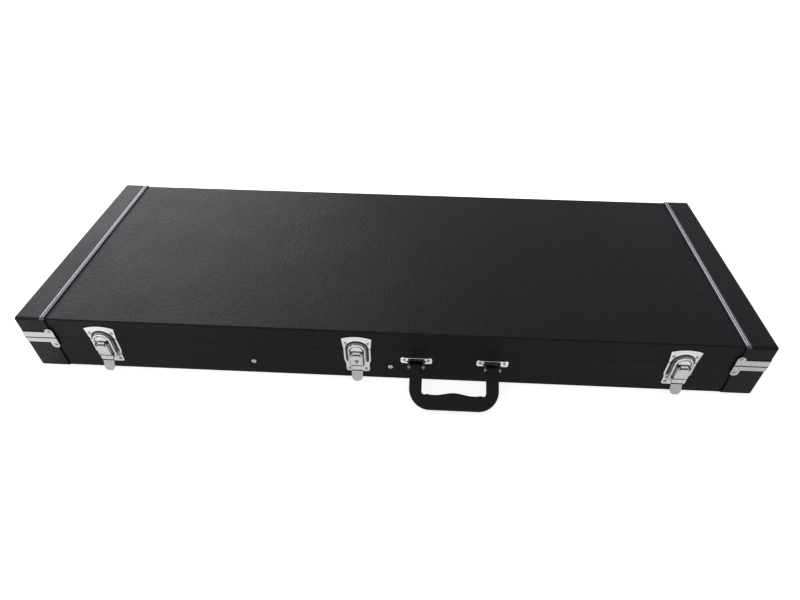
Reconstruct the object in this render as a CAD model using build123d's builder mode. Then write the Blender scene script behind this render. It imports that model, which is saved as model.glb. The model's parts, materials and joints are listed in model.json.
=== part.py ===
from build123d import *
import math
import os

os.makedirs("parts", exist_ok=True)

# Overall sizes of the closed case, over the end bands, in millimetres
case_length = 1030.0
case_width = 350.0
case_height = 97.2
seam_height = 60.7
seam_gap = 0.5

# Walls, skins and end bands
floor_board = 5.0
top_board = 5.0
body_wall = 6.5
lid_wall = 6.0
cover_thickness = 1.0
cover_radius = 2.2
band_thickness = 1.8
band_underside = 0.4
band_width = 42.5
band_bead_width = 4.5
band_bead_height = 0.8
band_bead_taper = 30.0
lining_thickness = 2.0
fit_gap = 0.3

# Rim lip that guides the lid over the body
lip_thickness = 2.5
lip_rise = 8.0
lip_depth = 16.0

# Inside of the body
cradle_height = 38.0
cradle_pad = 4.0
bay_neck_wall = 39.2
bay_width = 312.0
bay_radius = 105.0
bay_end_wall = 18.0
partition_left_x = -193.6
partition_right_x = 2.2
partition_thickness = 8.0
partition_height = 40.0
neck_notch_width = 62.0
neck_notch_depth = 26.0
inner_wall_thickness = 6.0
inner_wall_offset = 10.0
compartment_lid_thickness = 5.0
compartment_lid_gap = 0.6
batten_width = 8.0
batten_height = 6.0
pull_length = 34.0
pull_width = 18.0
pull_thickness = 1.2
pull_inset = 7.0
side_pin_diameter = 3.0
side_pin_length = 9.6
side_pin_bite = 5.0

# Lid padding
lid_pad_thickness = 12.0
lid_pad_length = 400.0
lid_pad_width = 230.0
lid_pad_radius = 40.0
lid_pad_edge = 4.0
lip_lining_gap = 2.0

# Clearance of a turning pin in its hole, on the radius
pin_clearance = 0.05

# Rear hinges
hinge_end_distance = 185.0
hinge_length = 50.0
hinge_leaf_height = 24.0
hinge_leaf_thickness = 1.2
knuckle_radius = 3.0
knuckle_count = 5
knuckle_gap = 0.2
hinge_pin_diameter = 3.0
hinge_screw_pitch = 30.0
hinge_screw_rise = 14.9

# Draw latches
latch_left_end_distance = 113.5
latch_right_end_distance = 114.7
latch_middle_x = -44.0
plate_thickness = 1.2
plate_width = 37.5
plate_top_width = 41.5
plate_top_z = 81.4
plate_arch = 4.0
plate_foot_width = 33.0
plate_foot_z = 15.7
plate_neck_z = 38.2
plate_shoulder = 7.0
plate_corner = 3.5
plate_edge_gap = 0.3
base_screw_inset = 4.6
base_screw_rise = 5.2
catch_screw_inset = 5.6
catch_screw_drop = 9.0
lever_pivot_z = 56.0
lever_pivot_out = 7.0
lever_width = 17.0
lever_sheet = 1.2
lever_cheek_radius = 3.8
lever_foot_z = 11.0
lever_step_z = 37.0
lever_step_depth = 1.4
lever_step_drop = 2.0
lever_waist_depth = 1.0
lever_waist_drop = 10.5
lever_bend = 0.8
lever_foot_bend = 0.6
lever_lean = 0.5
lever_cheek_taper = 1.6
lever_eye_rim = 0.9
lever_flare_drop = 6.0
lever_tab_width = 15.5
lever_tab_out = 15.5
pivot_pin_diameter = 2.5
ear_thickness = 1.2
ear_gap = 0.5
ear_rim = 1.2
ear_foot_drop = 6.0
ear_top_rise = 0.8
ear_nose = 1.6
pivot_pin_overhang = 0.4
bail_pivot_z = 32.0
bail_pivot_out = 4.5
bail_wire = 3.0
bail_side_gap = 0.8
bail_length = 40.5
bail_corner = 2.4
bail_end_gap = 0.9
bail_arch_flat = 0.4
catch_gap = 0.3
catch_out = 6.6
catch_lip = 1.3

# Lock in the middle latch
lock_z = 46.0
lock_diameter = 7.6
lock_flange = 8.6
lock_flange_thickness = 0.7
lock_tail_reach = 5.4
lock_tail_width = 2.8
lock_tail_thickness = 1.4
lock_gap = 0.25
lock_proud = 0.3
key_slot_depth = 0.7
key_slot_width = 1.1
key_slot_arm = 3.6
key_slot_leg = 3.0
key_slot_rise = 0.9
key_slot_drop = 0.7
key_slot_offset = 0.5
keeper_thickness = 1.1
keeper_height = 4.0
keeper_hook = 1.2
keeper_gap = 0.2
keeper_top = 0.6

# Carrying handle and its brackets
handle_x = 91.7
bracket_pitch = 106.0
bracket_length = 44.0
bracket_height = 12.0
bracket_z = 42.7
bracket_thickness = 1.2
bracket_lip = 1.3
bracket_ear = 1.2
bracket_ear_rim = 2.0
bracket_ear_low = 0.5
bracket_ear_high = 2.0
bracket_ear_nose = (1.5, 3.4)
bracket_ear_chin = 2.6
bracket_screw_inset = 5.2
handle_pivot_out = 9.0
handle_pivot_z = 38.2
handle_pin_diameter = 3.5
handle_pin_head = 0.7
handle_pin_head_rim = 0.7
handle_depth = 57.0
handle_leg = 17.5
handle_leg_gap = 0.7
handle_thickness = 11.0
handle_round = 3.6
handle_inner_corner = 4.2
handle_corner = 29.0
handle_grip = 20.5
handle_wave = 3.4
handle_hump_half = 24.3
handle_leg_end = 5.5
handle_lean = 33.5

# Corner strips
strip_thickness = 1.0
lid_strip_height = 10.5
body_strip_height = 8.4
strip_tab_width = 11.0
lid_tab_reach = 6.5
body_tab_reach = 11.0
strip_tab_overhang = 4.0
strip_end_length = 40.0

# Screws and rivets, each with a plain round head
screw_shank = 2.4
screw_bite = 6.0
screw_head = 4.6
screw_head_height = 1.1
screw_head_taper = 22.0
partition_screw_shank = 3.4
partition_screw_head = 7.6
partition_screw_head_height = 1.6
partition_screw_length = 24.0
partition_screw_z = 27.0

# Sizes worked out from the ones above
cover_length = case_length - 2 * band_thickness
cover_width = case_width - 2 * band_thickness
cover_bottom = band_underside
cover_top = case_height - band_thickness
board_length = cover_length - 2 * cover_thickness
board_width = cover_width - 2 * cover_thickness
board_bottom = cover_bottom + cover_thickness
board_top = cover_top - cover_thickness
body_rim = seam_height - seam_gap / 2
lid_rim = seam_height + seam_gap / 2
inner_floor = board_bottom + floor_board
inner_ceiling = board_top - top_board
inner_length = board_length - 2 * body_wall
inner_width = board_width - 2 * body_wall
lined_floor = inner_floor + lining_thickness
lip_top = body_rim + lip_rise
lip_bottom = body_rim - lip_depth
bay_floor_length = inner_length - 2 * lining_thickness
bay_floor_width = inner_width - 2 * lining_thickness

hinge_axis_out = knuckle_radius + fit_gap
lean = math.radians(handle_lean)
handle_reach = (handle_pivot_out + (handle_depth - handle_round) * math.cos(lean)
                + (handle_thickness / 2 - handle_round) * math.sin(lean) + handle_round)
hinge_reach = hinge_axis_out + knuckle_radius

# The origin is under the middle of the closed case with its handle and hinges
centre_y = (handle_reach - hinge_reach) / 2
front_y = centre_y - cover_width / 2
rear_y = centre_y + cover_width / 2
hinge_y = rear_y + hinge_axis_out

bail_leg_x = lever_width / 2 + bail_side_gap + bail_wire / 2
bail_bar_z = bail_pivot_z + bail_length
catch_radius = bail_leg_x - bail_wire / 2 - catch_gap
catch_top = bail_bar_z - bail_wire / 2 - catch_gap
ear_x = lever_width / 2 - lever_sheet - ear_gap - ear_thickness
latch_places = {"left": latch_left_end_distance - case_length / 2, "middle": latch_middle_x,
                "right": case_length / 2 - latch_right_end_distance}
hinge_places = (hinge_end_distance - case_length / 2, 0.0, case_length / 2 - hinge_end_distance)


def front_plane(x=0.0, out=0.0):
    """Plane on the front face, x along the case, y up, looking outwards."""
    return Plane(origin=(x, front_y - out, 0), x_dir=(1, 0, 0), z_dir=(0, -1, 0))


def rear_plane(x=0.0, out=0.0):
    """Plane on the rear face, x against the case length, y up."""
    return Plane(origin=(x, rear_y + out, 0), x_dir=(-1, 0, 0), z_dir=(0, 1, 0))


def side_plane(x=0.0):
    """Plane across the front face, x outwards from the face, y up."""
    return Plane(origin=(x, front_y, 0), x_dir=(0, -1, 0), z_dir=(-1, 0, 0))


def end_plane(side, out=0.0):
    """Plane on the band at one end of the case, y up, looking outwards."""
    face_x = side * (case_length / 2 + out)
    return Plane(origin=(face_x, centre_y, 0), x_dir=(0, side, 0), z_dir=(side, 0, 0))


def save(piece, name):
    """Label one finished piece and write it."""
    piece.part.label = name
    export_step(piece.part, f"parts/{name}.step")


def block(x0, x1, y0, y1, z0, z1):
    """A plain board given by its limits."""
    with BuildPart() as piece:
        with BuildSketch(Plane.XY.offset(z0)):
            with Locations(((x0 + x1) / 2, (y0 + y1) / 2)):
                Rectangle(x1 - x0, y1 - y0)
        extrude(amount=z1 - z0)
    return piece


# Bottom board and walls of the body, top board and walls of the lid
half_board = board_length / 2
board_front = centre_y - board_width / 2
board_rear = centre_y + board_width / 2
for name, low, high in (("body_bottom_board", board_bottom, inner_floor),
                        ("lid_top_board", inner_ceiling, board_top)):
    save(block(-half_board, half_board, board_front, board_rear, low, high), name)


def walls(prefix, thickness, low, high):
    """Four butted walls of the body or the lid."""
    inner_end = half_board - thickness
    front, rear = board_front + thickness, board_rear - thickness
    save(block(-half_board, half_board, board_front, front, low, high), f"{prefix}_front_board")
    save(block(-half_board, half_board, rear, board_rear, low, high), f"{prefix}_back_board")
    save(block(-half_board, -inner_end, front, rear, low, high), f"{prefix}_left_board")
    save(block(inner_end, half_board, front, rear, low, high), f"{prefix}_right_board")


walls("body", body_wall, inner_floor, body_rim)
walls("lid", lid_wall, lid_rim, inner_ceiling)


def rounded_box(length, width, low, high, radius):
    """A box centred on the case with every edge rounded."""
    with BuildPart() as piece:
        with BuildSketch(Plane.XY.offset(low)):
            with Locations((0, centre_y)):
                Rectangle(length, width)
        extrude(amount=high - low)
        fillet(piece.edges(), radius)
    return piece.part


cover_box = rounded_box(cover_length, cover_width, cover_bottom, cover_top, cover_radius)
band_box = rounded_box(case_length, case_width, 0, case_height, cover_radius + band_thickness)
half_keep = {"body": (Plane.XY.offset(body_rim), Keep.BOTTOM), "lid": (Plane.XY.offset(lid_rim), Keep.TOP)}


def covering(half):
    """Thin covering glued over the boards of one half."""
    plane, keep = half_keep[half]
    with BuildPart() as piece:
        add(cover_box)
        with BuildSketch(Plane.XY.offset(board_bottom)):
            with Locations((0, centre_y)):
                Rectangle(board_length, board_width)
        extrude(amount=board_top - board_bottom, mode=Mode.SUBTRACT)
        split(bisect_by=plane, keep=keep)
    return piece


def end_band(half, side):
    """Reinforcing band wrapped round one end of one half, beaded on the lid's top."""
    plane, keep = half_keep[half]
    inner_x = case_length / 2 - band_width
    with BuildPart() as piece:
        add(band_box)
        add(cover_box, mode=Mode.SUBTRACT)
        if half == "lid":
            bead_width = cover_width - 2 * cover_radius
            with BuildSketch(Plane.XY.offset(case_height)):
                with Locations((side * (inner_x + band_bead_width / 2), centre_y)):
                    Rectangle(band_bead_width, bead_width)
            extrude(amount=band_bead_height, taper=band_bead_taper)
        keep_plane = Plane(origin=(side * inner_x, 0, 0), x_dir=(0, 1, 0), z_dir=(side, 0, 0))
        split(bisect_by=keep_plane, keep=Keep.TOP)
        split(bisect_by=plane, keep=keep)
    return piece


for half in half_keep:
    save(covering(half), f"{half}_covering")
    save(end_band(half, -1), f"{half}_left_band")
    save(end_band(half, 1), f"{half}_right_band")

# Rim lip, a thin wall glued inside the body and standing into the lid
with BuildPart() as rim_lip:
    with BuildSketch(Plane.XY.offset(lip_bottom)):
        with Locations((0, centre_y)):
            Rectangle(inner_length, inner_width)
            Rectangle(inner_length - 2 * lip_thickness, inner_width - 2 * lip_thickness, mode=Mode.SUBTRACT)
    extrude(amount=lip_top - lip_bottom)
save(rim_lip, "rim_lip")

# Plush lining of the body, a tray up to the lip
with BuildPart() as body_lining:
    with BuildSketch(Plane.XY.offset(inner_floor)):
        with Locations((0, centre_y)):
            Rectangle(inner_length, inner_width)
    extrude(amount=lip_bottom - fit_gap - inner_floor)
    with BuildSketch(Plane.XY.offset(lined_floor)):
        with Locations((0, centre_y)):
            Rectangle(bay_floor_length, bay_floor_width)
    extrude(amount=lip_bottom - lined_floor, mode=Mode.SUBTRACT)
save(body_lining, "body_lining")

# Plush lining of the lid, a tray upside down that stays above the lip
lid_inner_length = board_length - 2 * lid_wall
lid_inner_width = board_width - 2 * lid_wall
lid_lining_low = lip_top + lip_lining_gap
lined_ceiling = inner_ceiling - lining_thickness
with BuildPart() as lid_lining:
    with BuildSketch(Plane.XY.offset(lid_lining_low)):
        with Locations((0, centre_y)):
            Rectangle(lid_inner_length, lid_inner_width)
    extrude(amount=inner_ceiling - lid_lining_low)
    with BuildSketch(Plane.XY.offset(lid_lining_low)):
        with Locations((0, centre_y)):
            Rectangle(lid_inner_length - 2 * lining_thickness, lid_inner_width - 2 * lining_thickness)
    extrude(amount=lined_ceiling - lid_lining_low, mode=Mode.SUBTRACT)
save(lid_lining, "lid_lining")

# Foam cradle for the guitar body, with a rounded bay and a way out for the neck
cradle_left = partition_right_x + partition_thickness / 2 + fit_gap
cradle_right = bay_floor_length / 2
bay_length = cradle_right - cradle_left - bay_end_wall - bay_neck_wall
bay_centre_x = cradle_right - bay_end_wall - bay_length / 2
cradle_top = lined_floor + cradle_height
with BuildPart() as body_cradle:
    with BuildSketch(Plane.XY.offset(lined_floor)):
        with Locations(((cradle_left + cradle_right) / 2, centre_y)):
            Rectangle(cradle_right - cradle_left, bay_floor_width)
    extrude(amount=lip_bottom - fit_gap - lined_floor)
    with BuildSketch(Plane.XY.offset(lip_bottom - fit_gap)):
        with Locations(((cradle_left + cradle_right - lip_thickness) / 2, centre_y)):
            Rectangle(cradle_right - cradle_left - lip_thickness, bay_floor_width - 2 * lip_thickness)
    extrude(amount=cradle_top - lip_bottom + fit_gap)
    with BuildSketch(Plane.XY.offset(lined_floor + cradle_pad)):
        with Locations((bay_centre_x, centre_y)):
            RectangleRounded(bay_length, bay_width, bay_radius)
    extrude(amount=cradle_height, mode=Mode.SUBTRACT)
    with BuildSketch(Plane.XY.offset(lined_floor + partition_height - neck_notch_depth)):
        with Locations(((cradle_left + bay_centre_x) / 2, centre_y)):
            Rectangle(bay_centre_x - cradle_left, neck_notch_width)
    extrude(amount=cradle_height, mode=Mode.SUBTRACT)
save(body_cradle, "body_cradle")


def partition(x, lid_side):
    """Plush-covered cross wall with a rounded rest for the neck and a hole for the lid's pin."""
    low = Plane(origin=(x, centre_y, lined_floor), x_dir=(0, 1, 0), z_dir=(1, 0, 0))
    half_width = bay_floor_width / 2
    upper_half = half_width - lip_thickness
    lip_z = lip_bottom - fit_gap - lined_floor
    with BuildPart() as piece:
        with BuildSketch(low):
            with BuildLine():
                Polyline((-half_width, 0), (half_width, 0), (half_width, lip_z), (upper_half, lip_z),
                         (upper_half, partition_height), (-upper_half, partition_height),
                         (-upper_half, lip_z), (-half_width, lip_z), close=True)
            make_face()
            with Locations((0, partition_height)):
                RectangleRounded(neck_notch_width, 2 * neck_notch_depth, neck_notch_depth - fit_gap,
                                 mode=Mode.SUBTRACT)
        extrude(amount=partition_thickness / 2, both=True)
        pin_at = Plane(origin=(x, side_pin_y, side_pin_z), x_dir=(0, 1, 0), z_dir=(1, 0, 0))
        with BuildSketch(pin_at):
            Circle(side_pin_diameter / 2)
        extrude(amount=lid_side * partition_thickness, mode=Mode.SUBTRACT)
    return piece


# Accessory compartment between the partitions, in front of the neck
inner_wall_rear = centre_y - neck_notch_width / 2 - inner_wall_offset
inner_wall_front = inner_wall_rear - inner_wall_thickness
partition_top = lined_floor + partition_height
compartment_lid_top = partition_top
compartment_lid_low = partition_top - compartment_lid_thickness
side_pin_y = inner_wall_rear - compartment_lid_thickness / 2
side_pin_z = partition_top - compartment_lid_thickness / 2
compartment_left = partition_left_x + partition_thickness / 2
compartment_right = partition_right_x - partition_thickness / 2
compartment_front = centre_y - bay_floor_width / 2

save(partition(partition_left_x, 1), "neck_partition_left")
save(partition(partition_right_x, -1), "neck_partition_right")
save(block(compartment_left, compartment_right, inner_wall_front, inner_wall_rear, lined_floor,
           compartment_lid_low - fit_gap), "compartment_inner_wall")
batten_top = compartment_lid_low
save(block(compartment_left, compartment_right, compartment_front + lip_thickness,
           compartment_front + lip_thickness + batten_width, batten_top - batten_height, batten_top),
     "compartment_batten")

lid_plate_left = compartment_left + compartment_lid_gap
lid_plate_right = compartment_right - compartment_lid_gap
lid_plate_front = compartment_front + lip_thickness + compartment_lid_gap
with BuildPart() as compartment_lid:
    profile = Plane(origin=(lid_plate_left, 0, 0), x_dir=(0, 1, 0), z_dir=(1, 0, 0))
    with BuildSketch(profile):
        with Locations(((lid_plate_front + side_pin_y) / 2, side_pin_z)):
            Rectangle(side_pin_y - lid_plate_front, compartment_lid_thickness)
        with Locations((side_pin_y, side_pin_z)):
            Circle(compartment_lid_thickness / 2)
    extrude(amount=lid_plate_right - lid_plate_left)
    for end_x, into in ((lid_plate_left, 1), (lid_plate_right, -1)):
        with BuildSketch(Plane(origin=(end_x, side_pin_y, side_pin_z), x_dir=(0, 1, 0), z_dir=(1, 0, 0))):
            Circle(side_pin_diameter / 2 + pin_clearance)
        extrude(amount=into * (side_pin_bite + fit_gap), mode=Mode.SUBTRACT)
save(compartment_lid, "compartment_lid")

pin_outer = side_pin_length - side_pin_bite - compartment_lid_gap
with BuildPart() as compartment_pins:
    for end_x, into in ((lid_plate_left, 1), (lid_plate_right, -1)):
        start = end_x - into * (compartment_lid_gap + pin_outer)
        with BuildSketch(Plane(origin=(start, side_pin_y, side_pin_z), x_dir=(0, 1, 0), z_dir=(1, 0, 0))):
            Circle(side_pin_diameter / 2)
        extrude(amount=into * side_pin_length)
save(compartment_pins, "compartment_hinge_pins")

with BuildPart() as compartment_pull:
    with BuildSketch(Plane.XY.offset(compartment_lid_top)):
        with Locations(((compartment_left + compartment_right) / 2,
                        lid_plate_front + pull_inset + pull_length / 2)):
            SlotOverall(pull_length, pull_width, rotation=90)
    extrude(amount=pull_thickness)
save(compartment_pull, "compartment_pull")

# Lid padding over the guitar body
with BuildPart() as lid_pad:
    with BuildSketch(Plane.XY.offset(lined_ceiling)):
        with Locations((bay_centre_x, centre_y)):
            RectangleRounded(lid_pad_length, lid_pad_width, lid_pad_radius)
    extrude(amount=-lid_pad_thickness)
    fillet(lid_pad.faces().sort_by(Axis.Z)[0].edges(), lid_pad_edge)
save(lid_pad, "lid_pad")


def knuckle_span(index):
    """Limits of one hinge knuckle along the pin, counted from the hinge's left end."""
    pitch = hinge_length / knuckle_count
    return index * pitch + knuckle_gap / 2, (index + 1) * pitch - knuckle_gap / 2


def hinge_leaves(side):
    """Three butt hinge leaves, side -1 on the body and 1 on the lid."""
    first = 0 if side < 0 else 1
    bore = hinge_pin_diameter / 2 + (0 if side < 0 else pin_clearance)
    leaf_near = knuckle_radius + fit_gap
    with BuildPart() as piece:
        for x in hinge_places:
            left = x - hinge_length / 2
            with BuildSketch(rear_plane(x)):
                with Locations((0, seam_height + side * (leaf_near + hinge_leaf_height) / 2)):
                    Rectangle(hinge_length, hinge_leaf_height - leaf_near)
                for screw_x in (-hinge_screw_pitch / 2, hinge_screw_pitch / 2):
                    with Locations((screw_x, seam_height + side * hinge_screw_rise)):
                        Circle(screw_shank / 2, mode=Mode.SUBTRACT)
            extrude(amount=hinge_leaf_thickness)
            for index in range(first, knuckle_count, 2):
                low, high = knuckle_span(index)
                start = Plane(origin=(left + low, hinge_y, seam_height), x_dir=(0, 1, 0), z_dir=(1, 0, 0))
                with BuildSketch(start):
                    Circle(knuckle_radius)
                    with Locations((-hinge_axis_out + hinge_leaf_thickness / 2, side * leaf_near / 2)):
                        Rectangle(hinge_leaf_thickness, leaf_near)
                extrude(amount=high - low)
                with BuildSketch(start):
                    Circle(bore)
                extrude(amount=high - low, mode=Mode.SUBTRACT)
    return piece


save(hinge_leaves(-1), "hinge_body_leaves")
save(hinge_leaves(1), "hinge_lid_leaves")

with BuildPart() as hinge_pins:
    for x in hinge_places:
        start = Plane(origin=(x - hinge_length / 2, hinge_y, seam_height), x_dir=(0, 1, 0), z_dir=(1, 0, 0))
        with BuildSketch(start):
            Circle(hinge_pin_diameter / 2)
        extrude(amount=hinge_length)
save(hinge_pins, "hinge_pins")


def screws(places, shank=screw_shank, bite=screw_bite, head=screw_head, head_height=screw_head_height):
    """Round-headed screws, each given by its face's plane, two places on it and its sheet's thickness."""
    with BuildPart() as piece:
        for plane, across, up, sheet in places:
            under_head = plane.offset(sheet)
            with BuildSketch(under_head):
                with Locations((across, up)):
                    Circle(head / 2)
            extrude(amount=head_height, taper=screw_head_taper)
            with BuildSketch(under_head):
                with Locations((across, up)):
                    Circle(shank / 2)
            extrude(amount=-bite - sheet)
    return piece


def hinge_screw_places(side):
    """Two screws for each hinge leaf."""
    up = seam_height + side * hinge_screw_rise
    pair = (-hinge_screw_pitch / 2, hinge_screw_pitch / 2)
    return [(rear_plane(x), across, up, hinge_leaf_thickness) for x in hinge_places for across in pair]


save(screws(hinge_screw_places(-1)), "hinge_body_screws")
save(screws(hinge_screw_places(1)), "hinge_lid_screws")


def base_outline():
    """Outline of the latch plate on the body, narrowed below its shoulders."""
    top = body_rim - plate_edge_gap
    wide, foot = plate_width / 2, plate_foot_width / 2
    with BuildSketch(mode=Mode.PRIVATE) as outline:
        with BuildLine():
            Polyline((-foot, plate_foot_z), (foot, plate_foot_z), (foot, plate_neck_z - plate_shoulder),
                     (wide, plate_neck_z), (wide, top), (-wide, top), (-wide, plate_neck_z),
                     (-foot, plate_neck_z - plate_shoulder), close=True)
        make_face()
        fillet(outline.vertices().group_by(Axis.Y)[0], plate_corner)
    return outline.sketch


def catch_outline():
    """Outline of the latch plate on the lid, with an arched top edge."""
    low = lid_rim + plate_edge_gap
    wide, top = plate_width / 2, plate_top_width / 2
    with BuildSketch(mode=Mode.PRIVATE) as outline:
        with BuildLine():
            Line((-wide, low), (wide, low))
            Line((wide, low), (top, plate_top_z))
            ThreePointArc((top, plate_top_z), (0, plate_top_z + plate_arch), (-top, plate_top_z))
            Line((-top, plate_top_z), (-wide, low))
        make_face()
    return outline.sketch


base_screw_x = plate_foot_width / 2 - base_screw_inset
base_screw_z = plate_foot_z + base_screw_rise
catch_screw_x = plate_top_width / 2 - catch_screw_inset
catch_screw_z = plate_top_z - catch_screw_drop


def latch_base(x, locked):
    """Body plate of a latch with two ears for the lever's pin, and a keeper for the lock's tail."""
    ear_radius = pivot_pin_diameter / 2 + ear_rim
    with BuildPart() as piece:
        with BuildSketch(front_plane(x)):
            add(base_outline())
            for side in (-1, 1):
                with Locations((side * base_screw_x, base_screw_z)):
                    Circle(screw_shank / 2, mode=Mode.SUBTRACT)
        extrude(amount=plate_thickness)
        for side in (-1, 1):
            middle = x + side * (ear_x + ear_thickness / 2)
            with BuildSketch(side_plane(middle)):
                with BuildLine():
                    Polyline((plate_thickness / 2, lever_pivot_z - ear_foot_drop),
                             (plate_thickness / 2, lever_pivot_z + ear_top_rise),
                             (lever_pivot_out, lever_pivot_z + ear_top_rise),
                             (lever_pivot_out + ear_nose, lever_pivot_z - ear_nose), close=True)
                make_face()
                with Locations((lever_pivot_out, lever_pivot_z)):
                    Circle(ear_radius)
                    Circle(pivot_pin_diameter / 2, mode=Mode.SUBTRACT)
            extrude(amount=ear_thickness / 2, both=True)
        if locked:
            post_x = x + lock_tail_reach + fit_gap + keeper_thickness / 2
            hook_low = lock_tail_out + lock_tail_thickness + keeper_gap
            hook_top = hook_low + keeper_top
            post_in = post_x - keeper_thickness / 2
            post_out = post_x + keeper_thickness / 2
            keeper_low = lock_z - keeper_height / 2
            with BuildSketch(Plane(origin=(0, front_y, keeper_low), x_dir=(1, 0, 0), z_dir=(0, 0, 1))):
                with BuildLine():
                    Polyline((post_out, 0), (post_out, -hook_top), (post_in - keeper_hook, -hook_top),
                             (post_in - keeper_hook, -hook_low), (post_in, -hook_low), (post_in, 0),
                             close=True)
                make_face()
            extrude(amount=keeper_height)
    return piece


def web_out(z):
    """Outer face of the lever's web above the step, leaning in a little towards the step."""
    below = (lever_pivot_z - z) / (lever_pivot_z - lever_step_z)
    return lever_pivot_out + lever_cheek_radius - lever_lean * below


lock_web_out = web_out(lock_z)
lock_tail_out = lock_web_out - lever_sheet - lock_gap - lock_flange_thickness - lock_tail_thickness


def latch_lever(x, locked):
    """Pressed channel lever, open at the back, with a stepped web and a flared finger tab."""
    top_out = web_out(lever_pivot_z)
    step_out = web_out(lever_step_z)
    step_in = step_out - lever_step_depth
    waist_out = step_out - lever_waist_depth
    waist_z = lever_step_z - lever_waist_drop
    tab_low = lever_foot_z - lever_foot_bend
    with BuildPart() as piece:
        with BuildSketch(side_plane(x)):
            with BuildLine():
                Polyline((top_out, lever_pivot_z), (step_out, lever_step_z),
                         (step_in, lever_step_z - lever_step_drop), (waist_out, waist_z),
                         (lever_tab_out, lever_foot_z), (lever_tab_out - lever_sheet, tab_low),
                         (waist_out - lever_sheet, waist_z - lever_bend),
                         (step_in - lever_sheet, lever_step_z - lever_step_drop),
                         (step_out - lever_sheet, lever_step_z), (top_out - lever_sheet, lever_pivot_z),
                         close=True)
            make_face()
        extrude(amount=lever_width / 2, both=True)
        eye = bail_wire / 2 + lever_eye_rim
        for side in (-1, 1):
            middle = x + side * (lever_width / 2 - lever_sheet / 2)
            with BuildSketch(side_plane(middle)):
                with BuildLine():
                    Polyline((lever_pivot_out - lever_cheek_radius, lever_pivot_z),
                             (bail_pivot_out - eye, bail_pivot_z + eye),
                             (bail_pivot_out - eye, bail_pivot_z - eye),
                             (step_out - lever_cheek_taper, bail_pivot_z - eye - lever_sheet),
                             (step_out - lever_cheek_taper, lever_step_z - lever_step_drop),
                             (step_out, lever_step_z), (top_out, lever_pivot_z), close=True)
                make_face()
                with Locations((lever_pivot_out, lever_pivot_z)):
                    Circle(lever_cheek_radius)
                    Circle(pivot_pin_diameter / 2 + pin_clearance, mode=Mode.SUBTRACT)
                with Locations((bail_pivot_out, bail_pivot_z)):
                    Circle(bail_wire / 2 + pin_clearance, mode=Mode.SUBTRACT)
            extrude(amount=lever_sheet / 2, both=True)
        top = lever_pivot_z + lever_cheek_radius + lever_sheet
        channel_low = lever_step_z - lever_flare_drop
        tab_half = lever_tab_width / 2
        with BuildSketch(front_plane(x)):
            with Locations((0, (top + channel_low) / 2)):
                Rectangle(lever_width, top - channel_low)
            with Locations((0, (top + tab_low + tab_half) / 2)):
                Rectangle(lever_tab_width, top - tab_low - tab_half)
            with Locations((0, tab_low + tab_half)):
                Circle(tab_half)
        extrude(amount=lever_tab_out + lever_sheet, mode=Mode.INTERSECT)
        if locked:
            with BuildSketch(front_plane(x, lock_web_out - 2 * lever_sheet)):
                with Locations((0, lock_z)):
                    Circle(lock_diameter / 2 + pin_clearance)
            extrude(amount=4 * lever_sheet, mode=Mode.SUBTRACT)
    return piece


def latch_bail(x):
    """Bent wire bail, its ends turned in through the lever's cheeks."""
    end_x = lever_width / 2 - lever_sheet - bail_end_gap
    arch = bail_leg_x - bail_arch_flat
    wire_plane = front_plane(x, bail_pivot_out)
    with BuildPart() as piece:
        with BuildLine(wire_plane) as wire:
            FilletPolyline((-end_x, bail_pivot_z), (-bail_leg_x, bail_pivot_z), (-bail_leg_x, bail_bar_z),
                           (bail_leg_x, bail_bar_z), (bail_leg_x, bail_pivot_z), (end_x, bail_pivot_z),
                           radius=[bail_corner, arch, arch, bail_corner])
        with BuildSketch(Plane(origin=wire.line @ 0, z_dir=wire.line % 0)):
            Circle(bail_wire / 2)
        sweep(path=wire.line)
    return piece


def latch_catch(x):
    """Lid plate of a latch with a raised boss that the bail's bar sits over."""
    with BuildPart() as piece:
        with BuildSketch(front_plane(x)):
            add(catch_outline())
            for side in (-1, 1):
                with Locations((side * catch_screw_x, catch_screw_z)):
                    Circle(screw_shank / 2, mode=Mode.SUBTRACT)
        extrude(amount=plate_thickness)
        low = lid_rim + plate_edge_gap + catch_lip
        half_width = math.sqrt(catch_radius ** 2 - (catch_top - catch_radius - low) ** 2)
        with BuildSketch(front_plane(x)):
            with BuildLine():
                Line((-half_width, low), (half_width, low))
                ThreePointArc((half_width, low), (0, catch_top), (-half_width, low))
            make_face()
        extrude(amount=catch_out)
        chamfer(piece.faces().sort_by(Axis.Y)[0].edges(), catch_lip)
    return piece


pivot_pin_length = lever_width + 2 * pivot_pin_overhang
with BuildPart() as latch_pins:
    for x in latch_places.values():
        with BuildSketch(side_plane(x)):
            with Locations((lever_pivot_out, lever_pivot_z)):
                Circle(pivot_pin_diameter / 2)
        extrude(amount=pivot_pin_length / 2, both=True)
save(latch_pins, "latch_pivot_pins")

base_screws = []
catch_screws = []
for side_name, x in latch_places.items():
    has_lock = side_name == "middle"
    save(latch_base(x, has_lock), f"latch_base_{side_name}")
    save(latch_lever(x, has_lock), f"latch_lever_{side_name}")
    save(latch_bail(x), f"latch_bail_{side_name}")
    save(latch_catch(x), f"latch_catch_{side_name}")
    for side in (-1, 1):
        base_screws.append((front_plane(x), side * base_screw_x, base_screw_z, plate_thickness))
        catch_screws.append((front_plane(x), side * catch_screw_x, catch_screw_z, plate_thickness))
save(screws(base_screws), "latch_base_screws")
save(screws(catch_screws), "latch_catch_screws")

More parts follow.
